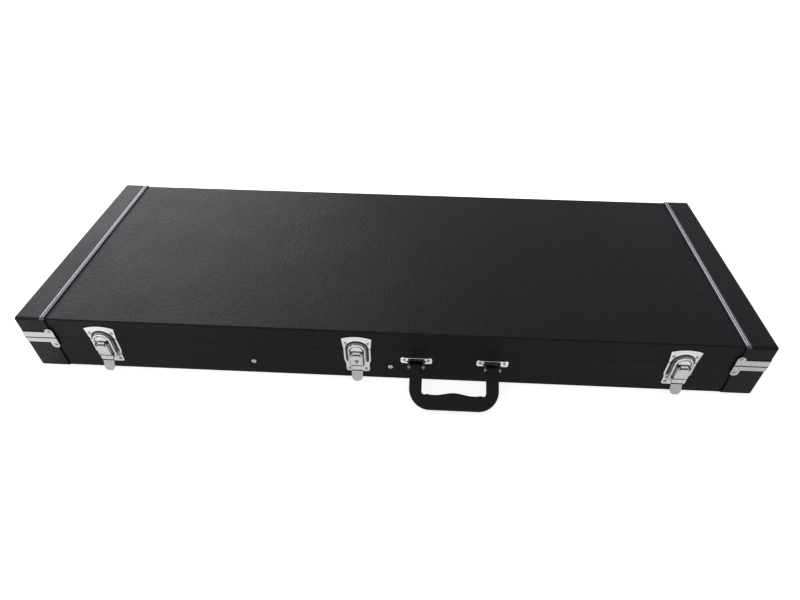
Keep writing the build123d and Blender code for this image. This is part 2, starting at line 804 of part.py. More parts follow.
# Lock plug in the middle lever, with a key slot and a tail that turns under the keeper
lock_x = latch_places["middle"]
with BuildPart() as lock_plug:
    with BuildSketch(front_plane(lock_x, lock_tail_out)):
        with Locations((0, lock_z - lock_tail_reach / 2)):
            Rectangle(lock_tail_width, lock_tail_reach)
    extrude(amount=lock_tail_thickness)
    with BuildSketch(front_plane(lock_x, lock_tail_out + lock_tail_thickness)):
        with Locations((0, lock_z)):
            Circle(lock_flange / 2)
    extrude(amount=lock_flange_thickness)
    with BuildSketch(front_plane(lock_x, lock_tail_out + lock_tail_thickness)):
        with Locations((0, lock_z)):
            Circle(lock_diameter / 2)
    extrude(amount=lock_web_out - lock_tail_out - lock_tail_thickness + lock_proud)
    with BuildSketch(front_plane(lock_x, lock_web_out - key_slot_depth)):
        with Locations((0, lock_z + key_slot_rise)):
            Rectangle(key_slot_arm, key_slot_width)
        with Locations((key_slot_offset, lock_z - key_slot_drop)):
            Rectangle(key_slot_width, key_slot_leg)
    extrude(amount=key_slot_depth + 2 * lock_proud, mode=Mode.SUBTRACT)
save(lock_plug, "lock_plug")


bracket_screw_x = bracket_length / 2 - bracket_screw_inset


def handle_bracket(x):
    """Strap screwed to the front face, with two ears for the handle's pin."""
    ear_inner = handle_leg / 2 + handle_leg_gap
    pin_radius = handle_pin_diameter / 2
    nose_out, nose_up = bracket_ear_nose
    with BuildPart() as piece:
        with BuildSketch(front_plane(x)):
            with Locations((0, bracket_z)):
                RectangleRounded(bracket_length, bracket_height, plate_corner)
            for side in (-1, 1):
                with Locations((side * bracket_screw_x, bracket_z)):
                    Circle(screw_shank / 2, mode=Mode.SUBTRACT)
        extrude(amount=bracket_thickness)
        with BuildSketch(front_plane(x)):
            with Locations((0, bracket_z + bracket_height / 2 - bracket_thickness / 2)):
                Rectangle(bracket_length - 2 * plate_corner, bracket_thickness)
        extrude(amount=bracket_thickness + bracket_lip)
        for side in (-1, 1):
            with BuildSketch(side_plane(x + side * (ear_inner + bracket_ear / 2))):
                with BuildLine():
                    Polyline((bracket_thickness / 2, bracket_z - bracket_height / 2 + bracket_ear_low),
                             (bracket_thickness / 2, bracket_z + bracket_height / 2 - bracket_ear_high),
                             (handle_pivot_out + nose_out, handle_pivot_z + nose_up),
                             (handle_pivot_out - bracket_ear_chin, handle_pivot_z - bracket_ear_chin),
                             close=True)
                make_face()
                with Locations((handle_pivot_out, handle_pivot_z)):
                    Circle(pin_radius + bracket_ear_rim)
                    Circle(pin_radius, mode=Mode.SUBTRACT)
            extrude(amount=bracket_ear / 2, both=True)
    return piece


bracket_places = {"left": handle_x - bracket_pitch / 2, "right": handle_x + bracket_pitch / 2}
bracket_screws = []
for side_name, x in bracket_places.items():
    save(handle_bracket(x), f"handle_bracket_{side_name}")
    for side in (-1, 1):
        bracket_screws.append((front_plane(x), side * bracket_screw_x, bracket_z, bracket_thickness))

ear_outer = handle_leg / 2 + handle_leg_gap + bracket_ear
with BuildPart() as handle_pins:
    for x in bracket_places.values():
        with BuildSketch(side_plane(x)):
            with Locations((handle_pivot_out, handle_pivot_z)):
                Circle(handle_pin_diameter / 2)
        extrude(amount=ear_outer, both=True)
        for side in (-1, 1):
            with BuildSketch(side_plane(x + side * (ear_outer + handle_pin_head / 2))):
                with Locations((handle_pivot_out, handle_pivot_z)):
                    Circle(handle_pin_diameter / 2 + handle_pin_head_rim)
            extrude(amount=handle_pin_head / 2, both=True)
save(handle_pins, "handle_pins")

# Moulded handle, drawn in its own leaning plane with y from the pins to the grip
handle_plane = Plane(origin=(handle_x, front_y - handle_pivot_out, handle_pivot_z), x_dir=(1, 0, 0),
                     z_dir=(0, math.sin(lean), -math.cos(lean)))
leg_inner = bracket_pitch / 2 - handle_leg / 2
leg_outer = bracket_pitch / 2 + handle_leg / 2
grip_inner = handle_depth - handle_grip
arc_start = handle_depth - handle_corner
arc_x = leg_outer - handle_corner
with BuildPart() as handle:
    with BuildSketch(handle_plane) as handle_outline:
        with BuildLine():
            Polyline((-leg_inner, grip_inner), (-leg_inner, -handle_leg_end), (-leg_outer, -handle_leg_end),
                     (-leg_outer, arc_start))
            ThreePointArc((-leg_outer, arc_start),
                          (-arc_x - handle_corner * math.sin(math.pi / 4),
                           arc_start + handle_corner * math.sin(math.pi / 4)), (-arc_x, handle_depth))
            Line((-arc_x, handle_depth), (arc_x, handle_depth))
            ThreePointArc((arc_x, handle_depth),
                          (arc_x + handle_corner * math.sin(math.pi / 4),
                           arc_start + handle_corner * math.sin(math.pi / 4)), (leg_outer, arc_start))
            Polyline((leg_outer, arc_start), (leg_outer, -handle_leg_end), (leg_inner, -handle_leg_end),
                     (leg_inner, grip_inner))
            Spline((leg_inner, grip_inner), (handle_hump_half, grip_inner), (0, grip_inner - handle_wave),
                   (-handle_hump_half, grip_inner), (-leg_inner, grip_inner), tangents=((-1, 0), (-1, 0)))
        make_face()
        inner_corners = [v for v in handle_outline.vertices()
                         if abs(abs(handle_plane.to_local_coords(v).X) - leg_inner) < 0.01
                         and abs(handle_plane.to_local_coords(v).Y - grip_inner) < 0.01]
        fillet(inner_corners, handle_inner_corner)
    extrude(amount=handle_thickness / 2, both=True)
    across = Axis((0, 0, 0), tuple(handle_plane.z_dir))
    outlines = handle.faces().filter_by(across)
    fillet(outlines.edges(), handle_round)
    with BuildSketch(side_plane(handle_x)):
        with Locations((handle_pivot_out, handle_pivot_z)):
            Circle(handle_pin_diameter / 2 + pin_clearance)
    extrude(amount=leg_outer + pin_clearance, both=True, mode=Mode.SUBTRACT)
save(handle, "handle")


def strip_tabs(tab_x, tab_y):
    """Face and place of every screw tab: two on the front, two on the rear and two on each end."""
    tabs = []
    for side in (-1, 1):
        tabs.append((front_plane(0, band_thickness), side * tab_x))
        tabs.append((rear_plane(0, band_thickness), side * tab_x))
        tabs += [(end_plane(side), tab_y), (end_plane(side), -tab_y)]
    return tabs


def corner_strips(half):
    """Four steel strips round the corners of one half, with a screw tab at each end."""
    if half == "lid":
        rim, height, reach, up = lid_rim, lid_strip_height, lid_tab_reach, 1
    else:
        rim, height, reach, up = body_rim, body_strip_height, body_tab_reach, -1
    outer_radius = cover_radius + band_thickness
    low = min(rim, rim + up * height)
    band_edge = case_length / 2 - band_width
    tab_x = band_edge - strip_tab_overhang + strip_tab_width / 2
    tab_y = case_width / 2 - strip_end_length + strip_tab_width / 2
    tab_length = height + reach - strip_tab_width / 2
    tab_up = rim + up * tab_length
    with BuildPart() as piece:
        with BuildSketch(Plane.XY.offset(low)):
            with Locations((0, centre_y)):
                RectangleRounded(case_length + 2 * strip_thickness, case_width + 2 * strip_thickness,
                                 outer_radius + strip_thickness)
                RectangleRounded(case_length, case_width, outer_radius, mode=Mode.SUBTRACT)
                Rectangle(2 * (band_edge - strip_tab_overhang), 2 * case_width, mode=Mode.SUBTRACT)
                Rectangle(2 * case_length, case_width - 2 * strip_end_length, mode=Mode.SUBTRACT)
        extrude(amount=height)
        for plane, across in strip_tabs(tab_x, tab_y):
            with BuildSketch(plane):
                with Locations((across, rim + up * tab_length / 2)):
                    Rectangle(strip_tab_width, tab_length)
                with Locations((across, tab_up)):
                    Circle(strip_tab_width / 2)
            extrude(amount=strip_thickness)
            with BuildSketch(plane):
                with Locations((across, tab_up)):
                    Circle(screw_shank / 2)
            extrude(amount=strip_thickness, mode=Mode.SUBTRACT)
    return piece, [(plane, across, tab_up, strip_thickness) for plane, across in strip_tabs(tab_x, tab_y)]


for half in half_keep:
    strips, tab_screws = corner_strips(half)
    save(strips, f"{half}_corner_strips")
    if half == "body":
        tab_screws = tab_screws + bracket_screws
    save(screws(tab_screws), f"{half}_trim_screws")

# Larger screws through the front wall into the ends of the two partitions
partition_screws = [(front_plane(x), 0, partition_screw_z, 0)
                    for x in (partition_left_x, partition_right_x)]
save(screws(partition_screws, partition_screw_shank, partition_screw_length, partition_screw_head,
            partition_screw_head_height), "partition_screws")
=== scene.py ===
import bmesh
import bpy
import json
import math
import numpy as np
from mathutils import Matrix, Vector


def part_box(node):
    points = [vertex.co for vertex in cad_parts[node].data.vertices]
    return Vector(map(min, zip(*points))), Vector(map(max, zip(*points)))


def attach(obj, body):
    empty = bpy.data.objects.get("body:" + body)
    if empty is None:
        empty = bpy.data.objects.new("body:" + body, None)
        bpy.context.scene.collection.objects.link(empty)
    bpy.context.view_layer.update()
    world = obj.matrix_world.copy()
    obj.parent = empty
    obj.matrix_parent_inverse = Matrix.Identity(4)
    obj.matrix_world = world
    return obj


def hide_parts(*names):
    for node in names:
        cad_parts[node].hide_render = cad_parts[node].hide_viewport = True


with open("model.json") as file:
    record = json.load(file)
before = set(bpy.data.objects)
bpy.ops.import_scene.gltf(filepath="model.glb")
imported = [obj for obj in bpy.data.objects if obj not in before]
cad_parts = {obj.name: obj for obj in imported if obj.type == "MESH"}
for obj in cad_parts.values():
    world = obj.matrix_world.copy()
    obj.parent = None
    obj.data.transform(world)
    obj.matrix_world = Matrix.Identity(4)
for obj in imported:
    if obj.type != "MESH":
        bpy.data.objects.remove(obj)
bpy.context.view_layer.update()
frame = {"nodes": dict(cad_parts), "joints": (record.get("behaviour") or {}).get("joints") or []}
nodes = frame["nodes"]
scene = bpy.context.scene
mm = 0.001
sides = ("left", "middle", "right")

# Where things stand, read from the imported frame
bodyLow, bodyHigh = (np.array(corner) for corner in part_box("body_covering"))
frontY = bodyLow[1]
centreY = (bodyLow[1] + bodyHigh[1]) / 2
jointAt = {joint["name"]: np.array(joint["pos_m"]) for joint in frame["joints"] if "pos_m" in joint}
print("frame loaded")


# Camera, with the three directions of its picture: right, down and ahead
camera = {"place": (0.04686, -0.6498, 0.63248), "lens": 24.502, "shift": (-0.01086, -0.04623),
          "sensor": 36.0, "near": 0.01, "far": 60.0,
          "right": (0.998866, 0.046946, 0.007897), "down": (0.035936, -0.634764, -0.771870),
          "ahead": (-0.031223, 0.771278, -0.635732)}


def makeCamera():
    data = bpy.data.cameras.new("camera")
    data.lens = camera["lens"]
    data.sensor_width = camera["sensor"]
    data.shift_x, data.shift_y = camera["shift"]
    data.clip_start, data.clip_end = camera["near"], camera["far"]
    shown = bpy.data.objects.new("camera", data)
    scene.collection.objects.link(shown)
    turn = Matrix((camera["right"], [-v for v in camera["down"]], [-v for v in camera["ahead"]])).transposed()
    shown.matrix_world = Matrix.Translation(camera["place"]) @ turn.to_4x4()
    scene.camera = shown
    scene.view_settings.view_transform = "Standard"


makeCamera()
print("camera ready")


# Shader maths: a socket that can be added, subtracted and multiplied like a number
class Wire:
    def __init__(self, tree, socket):
        self.tree = tree
        self.socket = socket

    def maths(self, operation, *others):
        node = self.tree.nodes.new("ShaderNodeMath")
        node.operation = operation
        for slot, value in zip(node.inputs, (self,) + others):
            if isinstance(value, Wire):
                self.tree.links.new(value.socket, slot)
            else:
                slot.default_value = value
        return Wire(self.tree, node.outputs[0])

    def __add__(self, other):
        return self.maths("ADD", other)

    def __mul__(self, other):
        return self.maths("MULTIPLY", other)

    def __sub__(self, other):
        return self.maths("SUBTRACT", other)

    def __rsub__(self, other):
        return (self * -1.0) + other

    __radd__ = __add__
    __rmul__ = __mul__

    def clamp(self):
        return self.maths("MAXIMUM", 0.0).maths("MINIMUM", 1.0)


# A material with its shader. The method add puts in any other node and returns one of its outputs; an input
# is given by name, or by its number after the letter n
class Finish:
    def __init__(self, name, **constants):
        self.material = bpy.data.materials.new(name)
        self.material.use_nodes = True
        self.tree = self.material.node_tree
        self.shader = self.tree.nodes["Principled BSDF"]
        for name, value in constants.items():
            socket = self.shader.inputs[name.replace("_", " ")]
            socket.default_value = (*value, 1.0) if isinstance(value, tuple) and len(value) == 3 else value
        self.material.diffuse_color = self.shader.inputs["Base Color"].default_value

    def add(self, kind, settings=None, output=0, **inputs):
        node = self.tree.nodes.new(kind)
        for name, value in (settings or {}).items():
            setattr(node, name, value)
        for name, value in inputs.items():
            socket = node.inputs[int(name[1:])] if name[0] == "n" and name[1:].isdigit() \
                else node.inputs[name.replace("_", " ")]
            if isinstance(value, Wire):
                self.tree.links.new(value.socket, socket)
            else:
                socket.default_value = value
        return Wire(self.tree, node.outputs[output])

    def place(self, scale=(1.0, 1.0, 1.0), turn=(0.0, 0.0, 0.0)):
        where = self.add("ShaderNodeTexCoord", output=3)
        return self.add("ShaderNodeMapping", Vector=where, Rotation=turn, Scale=scale)

    def noise(self, size, detail=2.0, rough=0.5, where=None):
        return self.add("ShaderNodeTexNoise", Vector=where or self.place(), Scale=1.0 / size, Detail=detail,
                        Roughness=rough)

    def cells(self, size, feature="F1", where=None):
        return self.add("ShaderNodeTexVoronoi", {"feature": feature}, Vector=where or self.place(),
                        Scale=1.0 / size)

    def bump(self, height, distance, strength=1.0):
        return self.add("ShaderNodeBump", Height=height, Distance=distance, Strength=strength)

    def feed(self, **links):
        for name, wire in links.items():
            self.tree.links.new(wire.socket, self.shader.inputs[name.replace("_", " ")])

    def colour(self, amount, first, second):
        return self.add("ShaderNodeMix", {"data_type": "RGBA"}, output=2, Factor=amount, n6=(*first, 1.0),
                        n7=(*second, 1.0))

    def mixed(self, amount, under, over):
        return self.add("ShaderNodeMix", {"data_type": "RGBA"}, output=2, Factor=amount, n6=under,
                        n7=(*over, 1.0))

    def axis(self, index):
        where = self.add("ShaderNodeTexCoord", output=3)
        return self.add("ShaderNodeSeparateXYZ", Vector=where, output=index)


# Black leatherette: rounded pebbles with fine creases between them, over a slow unevenness
leatherette = {"pebble": 3.0 * mm, "crease": 1.1 * mm, "slow": 90 * mm, "stretch": (1.0, 0.8, 1.0),
               "turn": 0.6, "pebbleShare": 0.75, "creaseShare": 0.35, "height": 0.55 * mm, "specular": 0.08,
               "rough": 0.50, "grainRough": 0.16, "slowRough": 0.1, "tint": (0.86, 0.88, 1.0),
               "dark": (0.0045, 0.0045, 0.0055), "light": (0.0105, 0.0103, 0.0125)}


def makeLeatherette(name, rough, height, specular=leatherette["specular"], uneven=1.0):
    s = leatherette
    finish = Finish(name, Specular_IOR_Level=specular, Specular_Tint=s["tint"])
    stretched = finish.place(scale=s["stretch"], turn=(0.0, 0.0, s["turn"]))
    pebbles = finish.cells(s["pebble"], "SMOOTH_F1", stretched)
    creases = finish.noise(s["crease"], 3.0, 0.6)
    slow = finish.noise(s["slow"], 2.0, 0.5)
    grain = pebbles * s["pebbleShare"] + creases * s["creaseShare"]
    patchy = grain * s["grainRough"] + slow * s["slowRough"] - s["slowRough"]
    finish.feed(Base_Color=finish.colour((grain * 0.9 + slow * 0.3).clamp(), s["light"], s["dark"]),
                Roughness=(patchy * uneven + rough).clamp(),
                Normal=finish.bump(1.0 - grain, height))
    return finish.material


coverFinish = makeLeatherette("coveringLeatherette", leatherette["rough"], leatherette["height"])
bandFinish = makeLeatherette("bandLeatherette", leatherette["rough"] - 0.04, leatherette["height"] * 0.8)
beadFinish = makeLeatherette("beadLeatherette", 0.20, leatherette["height"] * 0.01, 0.9, 0.1)


# Metal: faint rolling lines and a little haze. Painted shade darkens creases, grooves and gaps: where the
# mesh's attribute crease marks it, and round level heights given with their half widths, each a clipped
# parabola round its height. Below the height dullBelow the metal is duller
metal = {"haze": 14 * mm, "line": 1.2 * mm, "lineStretch": (0.08, 1.0, 1.0), "hazeTint": 0.9,
         "dullTint": 0.72, "dullFade": 1 * mm, "dullRough": 0.2, "creaseShadeGain": 2.0, "creaseRough": 0.25,
         "creaseShare": 0.93,
         "creaseShadeColour": (0.02, 0.02, 0.024), "hazeRough": 0.12, "relief": 0.012 * mm}


def makeMetal(name, colour, rough, scratch, creases=(), dullBelow=None):
    s = metal
    finish = Finish(name, Metallic=1.0, Base_Color=colour)
    haze = finish.noise(s["haze"], 3.0, 0.6)
    lines = finish.noise(s["line"], 2.0, 0.6, finish.place(scale=s["lineStretch"]))
    # painted shade marked on the mesh by the attribute crease
    dark = finish.add("ShaderNodeAttribute", {"attribute_name": "crease"}, output=2)
    clean = finish.colour(haze, tuple(v * s["hazeTint"] for v in colour), colour)
    if creases:
        height = finish.axis(2)
        for middle, half in creases:
            away = (height - middle) * (1.0 / half)
            # painted shade along each level crease
            dark = dark + ((1.0 - away * away) * s["creaseShadeGain"]).clamp()
        if dullBelow:
            under = ((dullBelow - height) * (1.0 / s["dullFade"])).clamp()
            clean = finish.mixed(under, clean, tuple(v * s["dullTint"] for v in colour))
            rough = under * s["dullRough"] + rough
    patchy = (haze - 0.5) * s["hazeRough"] + lines * scratch
    finish.feed(Roughness=(patchy + rough + dark * s["creaseRough"]).clamp(),
                Base_Color=finish.mixed(dark.clamp() * s["creaseShare"], clean, s["creaseShadeColour"]),
                Normal=finish.bump(lines, s["relief"], 0.5))
    return finish.material


nickel = makeMetal("brightNickel", (0.57, 0.57, 0.58), 0.18, 0.08)
# corner strips: painted shade along the seam between lid and body
seamShadeHalf = 1.25 * mm
satinNickel = makeMetal("satinNickel", (0.40, 0.40, 0.395), 0.36, 0.1, [(jointAt["lid_hinge"][2], seamShadeHalf)])
hingeFinish = makeMetal("hingeNickel", (0.40, 0.40, 0.40), 0.40, 0.1)
steelFinish = makeMetal("platedSteel", (0.62, 0.61, 0.60), 0.26, 0.08)
wireFinish = makeMetal("plainWire", (0.55, 0.55, 0.56), 0.16, 0.03)


# Handle straps: bright tabs and top edge, with painted shade between and under the ears
strap = {"darkHalf": 12.2 * mm, "darkFade": 1.0 * mm, "lipFade": 0.5 * mm, "lip": 1.4 * mm, "haze": 9 * mm,
         "bright": (0.76, 0.76, 0.77), "strapShade": (0.012, 0.012, 0.014)}


def makeStrapFinish(name, middleX, lipZ):
    finish = Finish(name, Metallic=1.0)
    # painted shade between the ears and under the top edge, where the handle's legs shade the strap
    inward = (strap["darkHalf"] - (finish.axis(0) - middleX).maths("ABSOLUTE")) * (1.0 / strap["darkFade"])
    below = (lipZ - finish.axis(2)) * (1.0 / strap["lipFade"])
    strapShade = inward.clamp() * below.clamp()
    haze = finish.noise(strap["haze"], 3.0, 0.6)
    finish.feed(Base_Color=finish.colour(strapShade, strap["bright"], strap["strapShade"]),
                Metallic=1.0 - strapShade, Roughness=(haze * 0.12 + 0.16 + strapShade * 0.4).clamp())
    return finish.material


# Moulded handle: soft black plastic with a fine stipple
moulding = {"dot": 1.0 * mm, "relief": 0.10 * mm, "slow": 30 * mm, "dark": (0.0035, 0.0050, 0.0058),
            "light": (0.0055, 0.0072, 0.0080)}


def makeHandleFinish():
    finish = Finish("handleMoulding", Specular_IOR_Level=0.12)
    dots = finish.cells(moulding["dot"])
    slow = finish.noise(moulding["slow"], 2.0, 0.5)
    finish.feed(Base_Color=finish.colour(slow, moulding["dark"], moulding["light"]),
                Roughness=(slow * 0.14 + 0.46).clamp(),
                Normal=finish.bump(1.0 - dots, moulding["relief"]))
    return finish.material


handleFinish = makeHandleFinish()


# Short black plush: pile tips catch the light in drifts
plush = {"pile": 0.9 * mm, "drift": 28 * mm, "relief": 0.7 * mm, "root": (0.010, 0.010, 0.011),
         "tip": (0.050, 0.050, 0.054)}


def makePlush():
    finish = Finish("blackPlush", Roughness=0.95, Specular_IOR_Level=0.1, Sheen_Weight=0.35,
                    Sheen_Roughness=0.4)
    pile = finish.noise(plush["pile"], 3.0, 0.7)
    drift = finish.noise(plush["drift"], 4.0, 0.6)
    lit = (pile * 0.7 + drift * 0.5 - 0.1).clamp()
    finish.feed(Base_Color=finish.colour(lit, plush["root"], plush["tip"]),
                Normal=finish.bump(pile * 0.6 + drift * 0.4, plush["relief"]))
    return finish.material


plushFinish = makePlush()


# Plywood: long streaks along the grain with pale and dark bands
ply = {"streak": 5 * mm, "stretch": (0.06, 1.0, 1.0), "relief": 0.1 * mm, "dark": (0.42, 0.27, 0.14),
       "light": (0.62, 0.45, 0.27)}


def makePlywood():
    finish = Finish("barePlywood", Roughness=0.6)
    streaks = finish.noise(ply["streak"], 5.0, 0.65, finish.place(scale=ply["stretch"]))
    finish.feed(Base_Color=finish.colour(streaks, ply["dark"], ply["light"]),
                Normal=finish.bump(streaks, ply["relief"]))
    return finish.material


plywood = makePlywood()


# Woven ribbon: crossed ribs of thread
ribbon = {"rib": 7 * mm, "relief": 0.1 * mm, "dark": (0.010, 0.010, 0.011), "light": (0.030, 0.030, 0.032)}


def makeRibbon():
    finish = Finish("wovenRibbon", Roughness=0.8, Sheen_Weight=0.2)
    ribs, cross = (finish.add("ShaderNodeTexWave", {"bands_direction": way}, Vector=finish.place(),
                              Scale=1.0 / ribbon["rib"]) for way in ("Y", "X"))
    finish.feed(Base_Color=finish.colour(ribs * cross, ribbon["dark"], ribbon["light"]),
                Normal=finish.bump(ribs + cross, ribbon["relief"]))
    return finish.material


ribbonFinish = makeRibbon()
print("finishes ready")


# Floor, lights and white background. Each lamp has its place, the point it faces, its size and its power
stage = {"floor": 8.0, "floorColour": 0.80, "floorGlow": 0.78, "ambient": 0.30,
         "lamps": {"above": ((0.3, 0.0, 2.6), (0.0, 0.0, 0.0), 2.2, 8.0),
                   "left": ((-1.95, 2.2, 1.9), (-0.2, 0.05, 0.08), 2.9, 180.0),
                   "front": ((-1.6, -2.0, 1.4), (-0.2, 0.0, 0.05), 1.6, 13.0)}}


# How much a ray from the camera, or one that metal or glass sends on, counts
def seenDirectly(tree):
    path = tree.nodes.new("ShaderNodeLightPath")
    seenBy = [Wire(tree, path.outputs[name]) for name in
              ("Is Camera Ray", "Is Glossy Ray", "Is Transmission Ray")]
    return (seenBy[0] + seenBy[1] + seenBy[2]).clamp()


def makeFloor():
    half = stage["floor"] / 2
    mesh = bpy.data.meshes.new("floor")
    corners = [(-half, -half, 0), (half, -half, 0), (half, half, 0), (-half, half, 0)]
    mesh.from_pydata(corners, [], [(0, 1, 2, 3)])
    floor = bpy.data.objects.new("floor", mesh)
    scene.collection.objects.link(floor)
    finish = Finish("paleFloor", Roughness=0.9, Specular_IOR_Level=0.0,
                    Base_Color=(stage["floorColour"],) * 3, Emission_Color=(1.0, 1.0, 1.0))
    glow = seenDirectly(finish.tree) * stage["floorGlow"]
    finish.feed(Emission_Strength=glow)
    mesh.materials.append(finish.material)


def makeWorld():
    world = bpy.data.worlds.new("studio")
    scene.world = world
    world.use_nodes = True
    tree = world.node_tree
    tree.nodes.clear()
    strength = seenDirectly(tree) * (1.0 - stage["ambient"]) + stage["ambient"]
    background = tree.nodes.new("ShaderNodeBackground")
    background.inputs["Color"].default_value = (1.0, 1.0, 1.0, 1.0)
    tree.links.new(strength.socket, background.inputs["Strength"])
    out = tree.nodes.new("ShaderNodeOutputWorld")
    tree.links.new(background.outputs[0], out.inputs[0])


def makeLamps():
    for name, (place, aim, size, power) in stage["lamps"].items():
        data = bpy.data.lights.new(name, "AREA")
        data.energy = power
        data.size = size
        lamp = bpy.data.objects.new(name, data)
        lamp.location = place
        lamp.rotation_euler = (Vector(aim) - Vector(place)).to_track_quat("-Z", "Y").to_euler()
        scene.collection.objects.link(lamp)


makeFloor()
makeWorld()
makeLamps()
print("stage ready")


def putMesh(name, points, faces, material, smooth=True):
    mesh = bpy.data.meshes.new(name)
    mesh.from_pydata(np.asarray(points, float).reshape(-1, 3).tolist(), [],
                     [tuple(int(i) for i in face) for face in faces])
    mesh.validate()
    mesh.materials.append(material)
    mesh.polygons.foreach_set("use_smooth", [smooth] * len(mesh.polygons))
    piece = bpy.data.objects.new(name, mesh)
    scene.collection.objects.link(piece)
    return piece


# Quads of a grid of points, row by row, with either direction joined end to end
def gridFaces(rows, columns, joinRows=False, joinColumns=False, first=0):
    r = np.arange(rows if joinRows else rows - 1)[:, None]
    c = np.arange(columns if joinColumns else columns - 1)[None, :]
    r2, c2 = (r + 1) % rows, (c + 1) % columns
    quads = np.stack([r * columns + c, r * columns + c2, r2 * columns + c2, r2 * columns + c], -1)
    return (quads.reshape(-1, 4) + first).tolist()


# The outer ring of a grid's points, in order
def gridRim(rows, columns):
    index = np.arange(rows * columns).reshape(rows, columns)
    return np.concatenate([index[0, :-1], index[:-1, -1], index[-1, :0:-1], index[:0:-1, 0]])


# Sides from a rim down to a ring of as many points that starts at the given one, and the face that closes it
def skirtFaces(rim, start):
    count = len(rim)
    walls = [(rim[i], start + i, start + (i + 1) % count, rim[(i + 1) % count]) for i in range(count)]
    return walls + [tuple(range(start, start + count))[::-1]]


# Marks where painted shade darkens the metal, one value a point
def markPaintedShade(piece, values):
    marks = piece.data.attributes.new("crease", "FLOAT", "POINT")
    marks.data.foreach_set("value", values)


def faceOut(piece):
    work = bmesh.new()
    work.from_mesh(piece.data)
    bmesh.ops.recalc_face_normals(work, faces=work.faces)
    work.to_mesh(piece.data)
    work.free()


def sharpen(piece, degrees):
    piece.data.set_sharp_from_angle(angle=math.radians(degrees))


def settle(piece, body, node=None):
    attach(piece, body)
    if node:
        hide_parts(node)


# A copy of a node's mesh with merged triangles and rounded-over edges, which stands for the node. With
# flatten, points past a limit along an axis are brought back to it
copied = {"merge": 2e-6, "dissolve": math.radians(1.5), "sharp": math.radians(32)}


def rounded(node, width, material, body, segments=2, flatten=None):
    mesh = bpy.data.meshes.new(node + "Finished")
    work = bmesh.new()
    work.from_mesh(nodes[node].data)
    if flatten:
        axis, limit, sense = flatten
        for vert in work.verts:
            if (vert.co[axis] - limit) * sense > 0:
                vert.co[axis] = limit
    bmesh.ops.remove_doubles(work, verts=work.verts, dist=copied["merge"])
    bmesh.ops.dissolve_limit(work, angle_limit=copied["dissolve"], verts=work.verts, edges=work.edges)
    bmesh.ops.recalc_face_normals(work, faces=work.faces)
    work.to_mesh(mesh)
    work.free()
    mesh.materials.clear()
    mesh.materials.append(material)
    mesh.polygons.foreach_set("use_smooth", [True] * len(mesh.polygons))
    mesh.set_sharp_from_angle(angle=copied["sharp"])
    piece = bpy.data.objects.new(node + "Finished", mesh)
    scene.collection.objects.link(piece)
    if width:
        bevel = piece.modifiers.new("edges", "BEVEL")
        bevel.width = width
        bevel.segments = segments
        bevel.limit_method = "ANGLE"
        bevel.angle_limit = copied["sharp"]
        bevel.use_clamp_overlap = True
        bevel.harden_normals = True
    settle(piece, body, node)
    return piece


def dress(node, material):
    shown = nodes[node]
    for slot in shown.material_slots:
        slot.link = "OBJECT"
        slot.material = material


# Boards, coverings and the body's bands
bandEdge = 0.5 * mm
for half in ("body", "lid"):
    for board in ("front", "back", "left", "right"):
        dress(f"{half}_{board}_board", plywood)
    dress(f"{half}_covering", coverFinish)
for side in ("left", "right"):
    rounded(f"body_{side}_band", bandEdge, bandFinish, "body")
dress("body_bottom_board", plywood)
dress("lid_top_board", plywood)
print("boards and coverings dressed")


# Boards under plush: a voxel skin, eased so every edge and corner rolls over under the pile
plushBoard = {"voxel": 1.2 * mm, "factor": 0.5, "iterations": 5, "woodEdge": 0.5 * mm}


def makePlushBoard(node, body):
    piece = rounded(node, 0.0, plushFinish, body)
    skin = piece.modifiers.new("skin", "REMESH")
    skin.mode = "VOXEL"
    skin.voxel_size = plushBoard["voxel"]
    skin.use_smooth_shade = True
    ease = piece.modifiers.new("ease", "SMOOTH")
    ease.factor = plushBoard["factor"]
    ease.iterations = plushBoard["iterations"]


makePlushBoard("neck_partition_left", "body")
makePlushBoard("neck_partition_right", "body")
makePlushBoard("compartment_lid", "compartment_lid")
for node in ("rim_lip", "compartment_inner_wall", "compartment_batten"):
    rounded(node, plushBoard["woodEdge"], plushFinish, "body", segments=3)
print("plush boards made")


# Bead of a lid band: two ridges, each a squared cosine across, that run over the top and round both edges. A
# ridge has its middle, half width and height; widths are counted outward from the band's inner edge
bead = {"cadHeight": 0.8 * mm, "ridges": ((1.15, 1.15, 0.76), (4.0, 1.5, 0.8)), "width": 6.4, "lift": 0.02,
        "sideDrop": 1.7, "corner": 4.0 * mm, "firstTurn": math.radians(25), "across": 34, "turns": 9,
        "along": 58, "fadeRows": 6.0}


